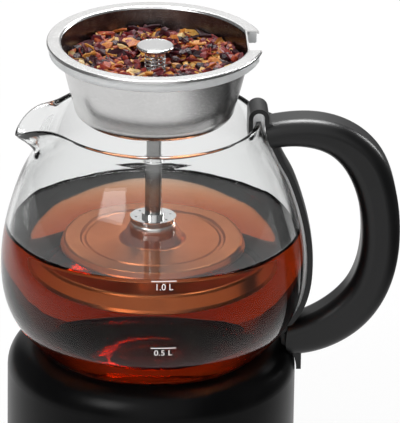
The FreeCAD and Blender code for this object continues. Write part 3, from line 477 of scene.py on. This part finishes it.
SATIN_BLACK = Moulded("satin_black", (0.0014, 0.0014, 0.0016), (0.0024, 0.0024, 0.0026), 0.3, 0.5, 0.02,
                      shine=0.11)
HANDLE_BLACK = Moulded("handle_black", (0.0022, 0.0022, 0.0025), (0.0036, 0.0036, 0.004), 0.33, 0.4, 0.028,
                       shine=0.42)
GLOSS_BLACK = Moulded("gloss_black", (0.006, 0.006, 0.007), (0.009, 0.009, 0.01), 0.14, 3.0, 0.01, 0.04)
BUTTON_GREY = Moulded("button_grey", (0.05, 0.05, 0.053), (0.065, 0.065, 0.068), 0.4)
RUBBER = Moulded("black_rubber", (0.012, 0.012, 0.012), (0.02, 0.02, 0.02), 0.75, 0.6, 0.04)
PART_BLACK = Moulded("component_black", (0.02, 0.02, 0.022), (0.035, 0.035, 0.037), 0.5)
BOARD_GREEN = Moulded("circuit_green", (0.01, 0.09, 0.03), (0.02, 0.13, 0.045), 0.35, 2.0, 0.03)
LENS_WHITE = Moulded("lens_white", (0.72, 0.75, 0.8), (0.82, 0.85, 0.88), 0.2, 1.0, 0.01)
CUP_STEEL = ReflectionPaintedCup("cup_steel", (0.64, 0.636, 0.632), (0.77, 0.766, 0.762), 0.26)
SHIELD_STEEL = Brushed("shield_steel", (0.56, 0.555, 0.55), (0.7, 0.695, 0.69), 0.3)
PLATE_STEEL = Brushed("plate_steel", (0.42, 0.41, 0.4), (0.52, 0.51, 0.5), 0.32)
BELL_STEEL = Brushed("bell_steel", (0.72, 0.71, 0.69), (0.86, 0.85, 0.83), 0.3, Lay.FINE, 0.008)
# Painted shade: the riser tubes' steel is darker than the other steel, so that they mirror less light.
SHADED_TUBE_STEEL = Brushed("tube_steel_shaded", (0.25, 0.25, 0.247), (0.34, 0.34, 0.336), 0.16, Lay.UPRIGHT, 0.003, 0.06)
MIRROR_STEEL = Brushed("mirror_steel", (0.72, 0.72, 0.72), (0.84, 0.84, 0.84), 0.1, Lay.FINE, 0.002, 0.05)
SPRING_STEEL = Brushed("spring_steel", (0.5, 0.5, 0.5), (0.62, 0.62, 0.62), 0.27, Lay.FINE, 0.002, 0.05)
SCREW_STEEL = Brushed("screw_steel", (0.4, 0.4, 0.42), (0.55, 0.55, 0.57), 0.3)
ALUMINIUM = Brushed("aluminium", (0.6, 0.6, 0.61), (0.74, 0.74, 0.75), 0.35)
GLASS = BlownGlass("blown_glass")
TEA = BrewedTea("brewed_tea")
SILICONE = Silicone("silicone")
FRUIT = DriedFruit("dried_fruit")
INK = Printed("white_ink")


class Shape:
    """A mesh under way, in millimetres, that becomes one piece of the object."""

    def __init__(self) -> None:
        """Starts with nothing."""
        self.bm = bmesh.new()

    def line(self, points: Iterable[Sequence[float]], closed: bool = False) -> list[bmesh.types.BMEdge]:
        """Adds a chain of edges.

        Args:
            points: its corners.
            closed: whether the last is joined to the first.

        Returns:
            The edges.
        """
        verts = [self.bm.verts.new(p) for p in points]
        edges = [self.bm.edges.new(pair) for pair in zip(verts, verts[1:])]
        return edges + ([self.bm.edges.new((verts[-1], verts[0]))] if closed else [])

    def spin(self, outline: Iterable[Point], steps: int) -> "Shape":
        """Turns an outline round the upright axis.

        Args:
            outline: its (radius, height) points.
            steps: how many sides the turned shape has.

        Returns:
            This shape.
        """
        edges = self.line([(r, 0.0, z) for r, z in outline])
        verts = list(dict.fromkeys(vert for edge in edges for vert in edge.verts))
        bmesh.ops.spin(self.bm, geom=verts + edges, cent=(0, 0, 0), axis=(0, 0, 1), dvec=(0, 0, 0),
                       angle=math.tau, steps=steps, use_merge=True)
        bmesh.ops.remove_doubles(self.bm, verts=self.bm.verts, dist=1e-4)
        bmesh.ops.recalc_face_normals(self.bm, faces=self.bm.faces)
        return self

    def move(self, rule: Callable[[Vector], Sequence[float]]) -> "Shape":
        """Moves each corner to where a rule says.

        Args:
            rule: gives a corner's new place from its old one.

        Returns:
            This shape.
        """
        for vert in self.bm.verts:
            vert.co = rule(vert.co.copy())
        return self

    def piece(self, name: str, body: str, finish: Finish, slot: str | None = None,
              stands_for: Sequence[str] = (), smooth: bool = True) -> bpy.types.Object:
        """Turns the mesh into a piece that rides on a body.

        Args:
            name: the piece's name.
            body: the CAD body that carries it.
            finish: what it is made of.
            slot: the record's material slot, if it has one. Not used.
            stands_for: CAD nodes that it is shown in place of.
            smooth: whether its faces are shaded as one surface.

        Returns:
            The piece.
        """
        bmesh.ops.scale(self.bm, vec=(MM, MM, MM), verts=self.bm.verts)
        mesh = bpy.data.meshes.new(name)
        for face in self.bm.faces:
            face.smooth = smooth
        self.bm.to_mesh(mesh)
        self.bm.free()
        mesh.materials.append(finish.material())
        obj = bpy.data.objects.new(name, mesh)
        bpy.context.scene.collection.objects.link(obj)
        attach(obj, body)
        if stands_for:
            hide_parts(*stands_for)
        log.info("%s: %d faces on %s", name, len(mesh.polygons), body)
        return obj


def dress(finish: Finish, *nodes: str) -> None:
    """Gives CAD nodes a finish.

    Args:
        finish: what they are made of.
        nodes: their names.
    """
    for name in nodes:
        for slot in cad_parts[name].material_slots:
            slot.material = finish.material()
        log.info("%s: %s", name, finish.name)


def glide(values: Sequence[float], places: Sequence[float], at: float) -> float:
    """A smooth curve through values at places, read at one place.

    Args:
        values: what the curve passes through.
        places: where it does.
        at: where it is read.

    Returns:
        The value there.
    """
    last = len(places) - 1
    at = min(max(at, places[0]), places[last])
    i = max(k for k in range(last) if places[k] <= at)
    span = places[i + 1] - places[i]
    rise = (values[i + 1] - values[i]) / span
    before = rise if i == 0 else (values[i + 1] - values[i - 1]) / (places[i + 1] - places[i - 1])
    after = rise if i + 1 == last else (values[i + 2] - values[i]) / (places[i + 2] - places[i])
    t = (at - places[i]) / span
    return (values[i] * (1 + 2 * t) * (1 - t) ** 2 + before * span * t * (1 - t) ** 2
            + values[i + 1] * t * t * (3 - 2 * t) - after * span * t * t * (1 - t))


@dataclass
class GlassJug:
    """The blown jug with its spout, the tea in it and the capacity marks on it."""

    heights: tuple[float, ...] = (0, 3, 8, 18, 30, 45, 60, 75, 90, 100, 108, 115, 122)
    radii: tuple[float, ...] = (53.4, 57.8, 63.0, 70.6, 74.8, 76.0, 74.7, 71.3, 66.2, 61.0, 57.3, 54.9, 53.0)
    wall: float = 2.6
    bottom: float = 3.0
    spout_from: float = 102.0
    spout_reach: float = 26.0
    spout_deg: Point = (6.0, 16.0)
    spout_widens: float = 108.0
    flow_from: float = 94.0
    floor_lift: float = 1.6
    lip_x: float = 55.0
    lip_r: float = 18.0
    tea_level: float = 155.0
    wet_lap: float = 0.35
    meniscus: Point = (3.0, 1.3)
    mark_x: float = 2.5
    mark_line: Point = (12.4, 0.5)
    marks: tuple[tuple[str, float], ...] = (("1.0 L", 156.2), ("0.5 L", 120.8))
    mark_text: float = 4.6
    mark_proud: float = 0.06
    steps: int = 240
    base_z: float = field(default_factory=lambda: low("glass_jug"))

    def radius(self, height: float) -> float:
        """The outer radius at a height above the foot."""
        return glide(self.radii, self.heights, height)

    def push(self, height: float, off_deg: float) -> float:
        """How far the spout draws the wall out.

        Args:
            height: the height above the foot.
            off_deg: the angle off the spout's middle.

        Returns:
            The distance outwards.
        """
        top = self.heights[-1]
        t = min(max((height - self.spout_from) / (top - self.spout_from), 0.0), 1.0)
        grow = min(max((height - self.spout_widens) / (top - self.spout_widens), 0.0), 1.0) ** 1.5
        narrow, wide = self.spout_deg
        half_width = narrow + (wide - narrow) * grow
        return self.spout_reach * t * t * (3 - 2 * t) * math.exp(-(off_deg / half_width) ** 2)

    def lip_height(self, off_deg: float) -> float:
        """The height of the rim above the foot, found by halving.

        Args:
            off_deg: the angle off the spout's middle.

        Returns:
            The height.
        """
        top = self.heights[-1]

        def above(height: float) -> float:
            reach = self.radius(height) + self.push(height, off_deg)
            x = reach * math.cos(math.radians(off_deg)) - self.lip_x
            edge = top if x <= 0 else top - self.lip_r + math.sqrt(max(self.lip_r ** 2 - x * x, 0.0))
            return height - edge

        under, over = 90.0, top
        if above(over) <= 0:
            return top
        for _ in range(30):
            middle = (under + over) / 2
            under, over = (middle, over) if above(middle) < 0 else (under, middle)
        return under

    def outline(self, low_h: float, high_h: float, inset: float, step: float = 3.0) -> list[Point]:
        """Points of the wall between two heights.

        Args:
            low_h: the lower height.
            high_h: the upper height.
            inset: the distance in from the outside.
            step: about how far apart the points are.

        Returns:
            The (radius, height) points.
        """
        count = max(2, round((high_h - low_h) / step))
        heights = [low_h + (high_h - low_h) * i / count for i in range(count + 1)]
        return [(self.radius(height) - inset, height) for height in heights]

    def draw_spout(self, co: Vector) -> tuple[float, float, float]:
        """Draws the spout and the lip.

        Args:
            co: a corner of the plain turned jug.

        Returns:
            Where it goes.
        """
        height = co.z
        radius = math.hypot(co.x, co.y)
        if height <= self.flow_from:
            return co.x, co.y, height + self.base_z
        angle = math.atan2(co.y, co.x)
        off = math.degrees(math.remainder(angle - math.pi, math.tau))
        inset = self.radius(height) - radius
        top = self.heights[-1]
        start = self.flow_from
        height = start + (height - start) * (self.lip_height(off) - start) / (top - start)
        lift = self.floor_lift * min(max(inset / self.wall, 0.0), 1.0)
        radius = self.radius(height) - inset + self.push(height - lift, off)
        return radius * math.cos(angle), radius * math.sin(angle), height + self.base_z

    def build_glass(self) -> None:
        """The wall: outside, rounded rim, inside and thick bottom."""
        top = self.heights[-1]
        half = self.wall / 2
        rim = [(self.radii[-1] - half + half * math.cos(a), top - half + half * math.sin(a))
               for a in (math.pi * i / 8 for i in range(9))]
        foot = [(0.0, 1.2), (30.0, 1.0), (48.0, 0.3), (51.0, 0.0), (52.8, 0.1), (54.0, 0.7)]
        inside = list(reversed(self.outline(12.0, top - 2.5, self.wall)))
        floor = [(self.radius(8.0) - self.wall - 0.5, 8.0), (self.radius(5.0) - self.wall - 1.6, 5.2),
                 (self.radius(3.0) - self.wall - 4.0, 3.5), (46.0, self.bottom), (20.0, self.bottom),
                 (0.0, self.bottom)]
        outside = self.outline(2.0, top - 2.5, 0.0)
        shape = Shape().spin([*foot, *outside, *rim, *inside, *floor], self.steps).move(self.draw_spout)
        shape.piece("jug_glass", "jug", GLASS, "glass", ("glass_jug",))

    def build_tea(self) -> None:
        """The tea, which laps a little into the glass so that no air shows between them."""
        level = self.tea_level - self.base_z
        lap = self.wall - self.wet_lap
        out, rise = self.meniscus
        edge = self.radius(level + rise) - lap
        floor = [(0.0, self.bottom - self.wet_lap), (46.0, self.bottom - self.wet_lap),
                 (self.radius(3.0) - lap - 4.0, 3.2), (self.radius(5.0) - lap - 1.6, 5.0),
                 (self.radius(8.0) - lap - 0.5, 8.0)]
        side = self.outline(12.0, level + rise, lap)
        top = [(edge - out * s, level + rise * (1 - s) ** 3) for s in (0.15, 0.35, 0.6, 1.0)]
        flat = [(edge * s, level) for s in (0.8, 0.5, 0.2, 0.0)]
        shape = Shape().spin([*floor, *side, *top, *flat], 160)
        shape.move(lambda co: (co.x, co.y, co.z + self.base_z))
        shape.piece("tea", "jug", TEA)

    def on_glass(self, co: Vector) -> tuple[float, float, float]:
        """Lays a flat mark on the front of the glass.

        Args:
            co: a corner of the mark, drawn in X and Z.

        Returns:
            Its place on the glass.
        """
        radius = self.radius(co.z - self.base_z) + self.mark_proud
        return co.x, -math.sqrt(radius ** 2 - co.x ** 2), co.z

    def build_marks(self) -> None:
        """A line and a number for each capacity."""
        width, thick = self.mark_line
        for index, (text, height) in enumerate(self.marks):
            shape = Shape()
            bmesh.ops.create_grid(shape.bm, x_segments=12, y_segments=1, size=0.5)
            for vert in shape.bm.verts:
                vert.co = (vert.co.x * width + self.mark_x, 0.0, vert.co.y * thick + height)
            self.add_text(shape, text, height - self.mark_text * 0.95)
            long_edges = [edge for edge in shape.bm.edges if edge.calc_length() > 1.0]
            bmesh.ops.subdivide_edges(shape.bm, edges=long_edges, cuts=2)
            shape.move(self.on_glass)
            shape.piece(f"capacity_mark_{index + 1}", "jug", INK)

    def add_text(self, shape: Shape, text: str, height: float) -> None:
        """Adds a line of text under a mark.

        Args:
            shape: the mark's mesh.
            text: the words.
            height: where the foot of the letters stands.
        """
        curve = bpy.data.curves.new("mark_text", "FONT")
        curve.body = text
        curve.size = self.mark_text
        curve.align_x = "CENTER"
        curve.resolution_u = 3
        holder = bpy.data.objects.new("mark_text", curve)
        mesh = bpy.data.meshes.new_from_object(holder)
        mesh.transform(Matrix.Translation((self.mark_x, 0, height)) @ Matrix.Rotation(math.pi / 2, 4, "X"))
        shape.bm.from_mesh(mesh)
        bpy.data.objects.remove(holder)
        bpy.data.curves.remove(curve)
        bpy.data.meshes.remove(mesh)

    def build(self) -> None:
        """Makes all of the jug."""
        self.build_glass()
        self.build_tea()
        self.build_marks()


@dataclass
class Leaves:
    """The heap of fruit tea in the basket."""

    reach: float = 44.0
    level: float = 241.0
    sag: float = 1.6
    dip: float = 3.0
    dip_r: float = 24.0
    hole: float = 6.4
    chips: int = 620
    seed: int = 7
    petal_share: float = 0.55
    chunk_size: Point = (1.5, 3.5)
    chunk_lumps: Point = (0.72, 1.2)
    chunk_flat: Point = (0.55, 0.8)
    petal_long: Point = (2.8, 6.0)
    petal_wide: Point = (1.5, 3.0)
    petal_curl: Point = (0.2, 0.75)
    petal_thick: Point = (0.35, 0.7)
    chip_tilt: Point = (0.8, 0.6)
    chip_rise: Point = (-1.2, 1.4)
    shades: tuple[float, ...] = (0.08, 0.16, 0.24, 0.3, 0.36, 0.42, 0.48, 0.56, 0.64, 0.74, 0.84, 0.94)
    floor: float = field(default_factory=lambda: low("tea_basket") + 2.5)

    def top(self, radius: float) -> float:
        """The level of the heap, which dips where the knob comes down.

        Args:
            radius: the distance from the axis.

        Returns:
            The height.
        """
        dip = self.dip * max(0.0, 1.0 - radius / self.dip_r)
        return self.level + self.sag * (radius / self.reach) ** 2 - dip

    def add_chunk(self, shape: Shape, rng: random.Random) -> list[bmesh.types.BMVert]:
        """A lump of dried fruit.

        Args:
            shape: the mesh that it is added to.
            rng: the source of its size and lumps.

        Returns:
            Its corners.
        """
        made = bmesh.ops.create_icosphere(shape.bm, subdivisions=1, radius=1.0)["verts"]
        size = rng.uniform(*self.chunk_size)
        for vert in made:
            vert.co *= size * rng.uniform(*self.chunk_lumps)
            vert.co.z *= rng.uniform(*self.chunk_flat)
        return made

    def add_petal(self, shape: Shape, rng: random.Random) -> list[bmesh.types.BMVert]:
        """A curled petal or peel with a real thickness.

        Args:
            shape: the mesh that it is added to.
            rng: the source of its size and curl.

        Returns:
            Its corners.
        """
        before = set(shape.bm.faces)
        made = bmesh.ops.create_grid(shape.bm, x_segments=4, y_segments=3, size=1.0)["verts"]
        long, wide = rng.uniform(*self.petal_long), rng.uniform(*self.petal_wide)
        curl = rng.uniform(*self.petal_curl) / wide
        twist = rng.uniform(-0.35, 0.35)
        for vert in made:
            x, y = vert.co.x * long, vert.co.y * wide * (1 - 0.35 * vert.co.x ** 2) * rng.uniform(0.8, 1.15)
            vert.co = (x, y, curl * y * y + twist * x * y / long + rng.uniform(-0.3, 0.3))
        faces = [f for f in shape.bm.faces if f not in before]
        thick = bmesh.ops.solidify(shape.bm, geom=faces, thickness=rng.uniform(*self.petal_thick))["geom"]
        corners = [part for part in thick if isinstance(part, bmesh.types.BMVert)]
        return list(dict.fromkeys([*corners, *made]))

    def build_chips(self) -> None:
        """Hundreds of chips, strewn over the heap."""
        rng = random.Random(self.seed)
        shape = Shape()
        tint = shape.bm.verts.layers.float.new("tint")
        golden = math.pi * (3 - math.sqrt(5))
        tilt_x, tilt_y = self.chip_tilt
        for i in range(self.chips):
            radius = self.hole + (self.reach - self.hole - 1.5) * math.sqrt((i + 0.5) / self.chips)
            angle = i * golden + rng.uniform(-0.2, 0.2)
            radius += rng.uniform(-1.0, 1.0)
            add = self.add_petal if rng.random() < self.petal_share else self.add_chunk
            verts = add(shape, rng)
            turn = (Matrix.Rotation(rng.uniform(0, math.tau), 4, "Z")
                    @ Matrix.Rotation(rng.uniform(-tilt_x, tilt_x), 4, "X")
                    @ Matrix.Rotation(rng.uniform(-tilt_y, tilt_y), 4, "Y"))
            height = self.top(radius) + rng.uniform(*self.chip_rise)
            spot = (radius * math.cos(angle), radius * math.sin(angle), height)
            bmesh.ops.transform(shape.bm, matrix=Matrix.Translation(spot) @ turn, verts=verts)
            shade = rng.choice(self.shades)
            for vert in verts:
                vert[tint] = shade + rng.uniform(-0.06, 0.06)
        bmesh.ops.recalc_face_normals(shape.bm, faces=shape.bm.faces)
        shape.move(self.inside_cup)
        shape.piece("tea_leaves", "infuser", FRUIT, smooth=False)

    def inside_cup(self, co: Vector) -> tuple[float, float, float]:
        """Keeps a corner of a chip inside the cup's wall.

        Args:
            co: the corner.

        Returns:
            Its place inside.
        """
        radius = math.hypot(co.x, co.y)
        share = min(1.0, self.reach / max(radius, 1e-6))
        return co.x * share, co.y * share, co.z

    def build_heap(self) -> None:
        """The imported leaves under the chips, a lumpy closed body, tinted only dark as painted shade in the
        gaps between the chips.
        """
        rng = random.Random(self.seed + 1)
        outline = [(self.hole - 3.0, self.floor), (34.0, self.floor), (38.0, self.floor + 6.0)]
        steps = 14
        crown = [self.reach - 0.8 - (self.reach - self.hole + 1.2) * i / steps for i in range(steps + 1)]
        outline += [(radius, self.top(radius) - 1.4) for radius in crown]
        shape = Shape().spin([*outline, outline[0]], 72)
        tint = shape.bm.verts.layers.float.new("tint")
        for vert in shape.bm.verts:
            if vert.co.z > self.level - 3:
                vert.co.z += rng.uniform(-0.6, 0.6)
            # Painted shade: the body gets only dark tints, so the gaps between the chips read as shadowed.
            vert[tint] = rng.uniform(0.02, 0.4)
        shape.piece("tea_heap", "infuser", FRUIT)

    def build(self) -> None:
        """Makes the heap and what lies on it."""
        self.build_heap()
        self.build_chips()


@dataclass
class Knob:
    """The sprung knob: its spring is a round wire."""

    mean_r: float = 4.9
    wire_r: float = 0.42
    turns: float = 3.75
    wire_sides: int = 12
    steps_per_turn: int = 36
    end_gap: float = 0.05
    press_mm: float = 3.5

    def build_spring(self) -> None:
        """A ring spun round the axis while it climbs."""
        foot = high("spray_head")
        head = low("knob")
        first = foot + self.wire_r + self.end_gap
        rise = head - foot - 2 * (self.wire_r + self.end_gap)
        shape = Shape()
        ring = bmesh.ops.create_circle(shape.bm, segments=self.wire_sides, radius=self.wire_r)["verts"]
        bmesh.ops.transform(shape.bm, verts=ring, matrix=Matrix.Translation((self.mean_r, 0, first))
                            @ Matrix.Rotation(math.pi / 2, 4, "X"))
        steps = round(self.turns * self.steps_per_turn)
        wire = list(shape.bm.verts) + list(shape.bm.edges)
        bmesh.ops.spin(shape.bm, geom=wire, cent=(0, 0, 0), axis=(0, 0, 1), dvec=(0, 0, rise / steps),
                       angle=math.tau * self.turns, steps=steps)
        bmesh.ops.holes_fill(shape.bm, edges=shape.bm.edges, sides=self.wire_sides)
        bmesh.ops.recalc_face_normals(shape.bm, faces=shape.bm.faces)
        piece = shape.piece("coil_spring", "infuser", SPRING_STEEL, "polished_steel", ("knob_spring",))
        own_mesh(piece)

    def build(self) -> None:
        """Makes the spring and dresses the rest."""
        self.build_spring()
        dress(MIRROR_STEEL, "knob", "knob_stem", "stem_ring", "spray_head")


class Infuser:
    """The steel basket, riser and bell."""

    def build(self) -> None:
        """Dresses the CAD nodes and fills the basket."""
        dress(CUP_STEEL, "tea_basket")
        dress(SHIELD_STEEL, "basket_sieve")
        dress(SILICONE, "basket_gasket")
        dress(SHADED_TUBE_STEEL, "upper_riser_tube", "lower_riser_tube")
        dress(MIRROR_STEEL, "basket_hub", "basket_nut", "tube_union", "clamp_disc", "riser_boss", "bell_nut")
        dress(BELL_STEEL, "riser_bell")
        Leaves().build()


class Handle:
    """The handle in its two moulded halves, with the liner against the glass."""

    def build(self) -> None:
        """Dresses the CAD nodes."""
        dress(HANDLE_BLACK, "handle_body", "handle_cover")
        dress(SILICONE, "handle_liner")
        dress(SCREW_STEEL, "handle_screws")


class HeatingBase:
    """The black base with its buttons, heating plate and inner works."""

    def build(self) -> None:
        """Dresses the CAD nodes."""
        dress(SATIN_BLACK, "base_housing", "base_bottom_cover", "cord_gland")
        dress(RUBBER, "rubber_feet", "plate_seal")
        dress(GLOSS_BLACK, "control_fascia")
        dress(BUTTON_GREY, "brew_button", "power_button", "warm_button")
        dress(LENS_WHITE, "indicator_lenses", "indicator_leds")
        dress(PLATE_STEEL, "heating_plate")
        dress(SHIELD_STEEL, "heat_shield")
        dress(MIRROR_STEEL, "temperature_sensor")
        dress(SCREW_STEEL, "cover_screws", "shield_screws", "board_screws", "power_board_screws")
        dress(ALUMINIUM, "heat_spreader", "heating_element")
        dress(BOARD_GREEN, "control_board", "power_board")
        dress(PART_BLACK, "thermostat", "thermal_fuse", "relay", "transformer", "capacitor", "terminal_block",
              "button_switches")


@dataclass(frozen=True)
class Lamp:
    """One soft box of the studio."""

    name: str
    place: tuple[float, float, float]
    size: Point
    watts: float
    glint_only: bool = False


@dataclass(frozen=True)
class Floor(Finish):
    """A pale floor that shows white and keeps a soft shadow. Mirrors see it white near the object only."""

    strip_x: float = -130.0
    strip_half: float = 450.0
    plateau: float = 0.6
    dim: float = 0.1
    white_share: float = 0.86
    greys: Point = (0.84, 0.88)

    def fill(self, recipe: Recipe) -> None:
        """White where the camera, a mirror or the glass looks at it, a plain matt floor otherwise."""
        path = recipe.node("ShaderNodeLightPath", {}, {}, "Is Camera Ray")
        mirrored = Value(recipe, path.socket.node.outputs["Is Glossy Ray"])
        through = Value(recipe, path.socket.node.outputs["Is Transmission Ray"])
        grain = recipe.noise(recipe.place(), 0.01, 2.0)
        dark, pale = self.greys
        matt = recipe.node("ShaderNodeBsdfDiffuse", {}, {
            "Color": recipe.ramp(grain, ((0.3, (dark, dark, dark)), (0.7, (pale, pale, pale))))}, "BSDF")
        white = recipe.node("ShaderNodeEmission", {}, {"Color": (1, 1, 1, 1), "Strength": 1.0}, "Emission")
        black = recipe.node("ShaderNodeEmission", {}, {"Color": (0, 0, 0, 1), "Strength": 0.0}, "Emission")
        off = (recipe.part_of(recipe.place(), "X") - self.strip_x * MM).sum("ABSOLUTE")
        far = off * (1.0 / (self.strip_half * MM))
        strip = recipe.ramp(far, ((self.plateau, (1.0, 1.0, 1.0)), (1.0, (self.dim, self.dim, self.dim))))
        seen = (path + through + mirrored * strip).sum("MINIMUM", 1.0)
        plain = recipe.node("ShaderNodeMixShader", {}, {0: mirrored, 1: matt, 2: black}, "Shader")
        mixed = recipe.node("ShaderNodeMixShader", {},
                            {0: seen * self.white_share, 1: plain, 2: white}, "Shader")
        recipe.node("ShaderNodeOutputMaterial", {}, {"Surface": mixed})


@dataclass
class Studio:
    """Camera, floor, lamps and surroundings, as in the photograph."""

    aim: tuple[float, float, float] = (0.0, 0.0, 155.0)
    aim_pixel: Point = (153.0, 224.0)
    frame_px: Point = (400.0, 423.0)
    px_per_mm: float = 2.0
    azimuth: float = -3.0
    elevation: float = 23.2
    roll: float = 0.9
    distance: float = 3000.0
    sensor: float = 36.0
    fill: float = 0.7
    through_flags: float = 0.45
    flag_side: tuple[float, float, float] = (1.8, 0.12, 0.1)
    flag_stops: tuple[tuple[float, Colour], ...] = (
        (0.02, (1.0, 1.0, 1.0)), (0.22, (0.8, 0.8, 0.8)), (0.6, (0.1, 0.1, 0.105)), (1.0, (0.16, 0.16, 0.16)))
    lamps: tuple[Lamp, ...] = (
        Lamp("key", (-1.3, -1.5, 1.6), (0.9, 1.1), 22.0),
        Lamp("side", (1.45, 1.05, 0.8), (0.35, 0.8), 12.0),
        Lamp("top_back", (0.3, 1.1, 1.7), (1.2, 0.45), 10.0),
        Lamp("overhead", (0.25, 0.75, 1.9), (0.9, 0.6), 45.0, glint_only=True))

    def build_camera(self) -> None:
        """A long lens at the photograph's angle."""
        az, el = math.radians(self.azimuth), math.radians(self.elevation)
        back = Vector((math.sin(az) * math.cos(el), -math.cos(az) * math.cos(el), math.sin(el)))
        right = Vector((math.cos(az), math.sin(az), 0.0))
        up = back.cross(right)
        roll = Matrix.Rotation(math.radians(self.roll), 4, "Z")
        turn = Matrix((right, up, back)).transposed().to_4x4() @ roll
        across = (self.frame_px[0] / 2 - self.aim_pixel[0]) / self.px_per_mm
        above = (self.aim_pixel[1] - self.frame_px[1] / 2) / self.px_per_mm
        level = turn.to_3x3()
        target = Vector(self.aim) + level @ Vector((across, above, 0.0))
        data = bpy.data.cameras.new("camera")
        data.sensor_width = self.sensor
        data.lens = self.sensor * self.distance * self.px_per_mm / max(self.frame_px)
        data.clip_end = 50.0
        camera = bpy.data.objects.new("camera", data)
        camera.matrix_world = Matrix.Translation((target + back * self.distance) * MM) @ turn
        bpy.context.scene.collection.objects.link(camera)
        bpy.context.scene.camera = camera

    def build_floor(self) -> None:
        """A wide plain floor."""
        bm = bmesh.new()
        bmesh.ops.create_grid(bm, x_segments=1, y_segments=1, size=6.0)
        mesh = bpy.data.meshes.new("floor")
        bm.to_mesh(mesh)
        bm.free()
        mesh.materials.append(Floor("floor").material())
        floor = bpy.data.objects.new("floor", mesh)
        bpy.context.scene.collection.objects.link(floor)

    def build_lamps(self) -> None:
        """Soft boxes that face the jug."""
        for lamp in self.lamps:
            data = bpy.data.lights.new(lamp.name, "AREA")
            data.shape = "RECTANGLE"
            data.size, data.size_y = lamp.size
            data.energy = lamp.watts
            obj = bpy.data.objects.new(lamp.name, data)
            towards = Vector(self.aim) * MM - Vector(lamp.place)
            facing = towards.to_track_quat("-Z", "Y").to_matrix().to_4x4()
            obj.matrix_world = Matrix.Translation(lamp.place) @ facing
            obj.visible_diffuse = not lamp.glint_only
            bpy.context.scene.collection.objects.link(obj)

    def build_world(self) -> None:
        """White surroundings, with soft grey flags to the sides that only mirrors show in full."""
        world = bpy.data.worlds.new("studio")
        world.use_nodes = True
        recipe = Recipe(world.node_tree)
        path = recipe.node("ShaderNodeLightPath", {}, {}, "Is Camera Ray")
        outs = path.socket.node.outputs
        mirrored = Value(recipe, outs["Is Glossy Ray"])
        through = Value(recipe, outs["Is Transmission Ray"])
        direction = recipe.node("ShaderNodeTexCoord", {}, {}, "Generated")
        x = recipe.part_of(direction, "X")
        y = recipe.part_of(direction, "Y")
        across, behind, start = self.flag_side
        flags = recipe.ramp(x * x * across + y * behind + start, self.flag_stops)
        flagged = mirrored + through * self.through_flags
        seen = recipe.mix(flagged, (1, 1, 1, 1), flags)
        strength = (path + mirrored + through).sum("MINIMUM", 1.0) * (1.0 - self.fill) + self.fill
        back = recipe.node("ShaderNodeBackground", {}, {"Color": seen, "Strength": strength}, "Background")
        recipe.node("ShaderNodeOutputWorld", {}, {"Surface": back})
        bpy.context.scene.world = world

    def build(self) -> None:
        """Sets up the whole studio."""
        self.build_camera()
        self.build_floor()
        self.build_lamps()
        self.build_world()
        bpy.context.scene.view_settings.view_transform = "Standard"


def main() -> None:
    """Builds the object and its studio."""
    logging.basicConfig(level=logging.INFO, format="%(message)s")
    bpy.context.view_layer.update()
    HeatingBase().build()
    GlassJug().build()
    Handle().build()
    Infuser().build()
    Knob().build()
    Studio().build()


if __name__ == "__main__":
    main()
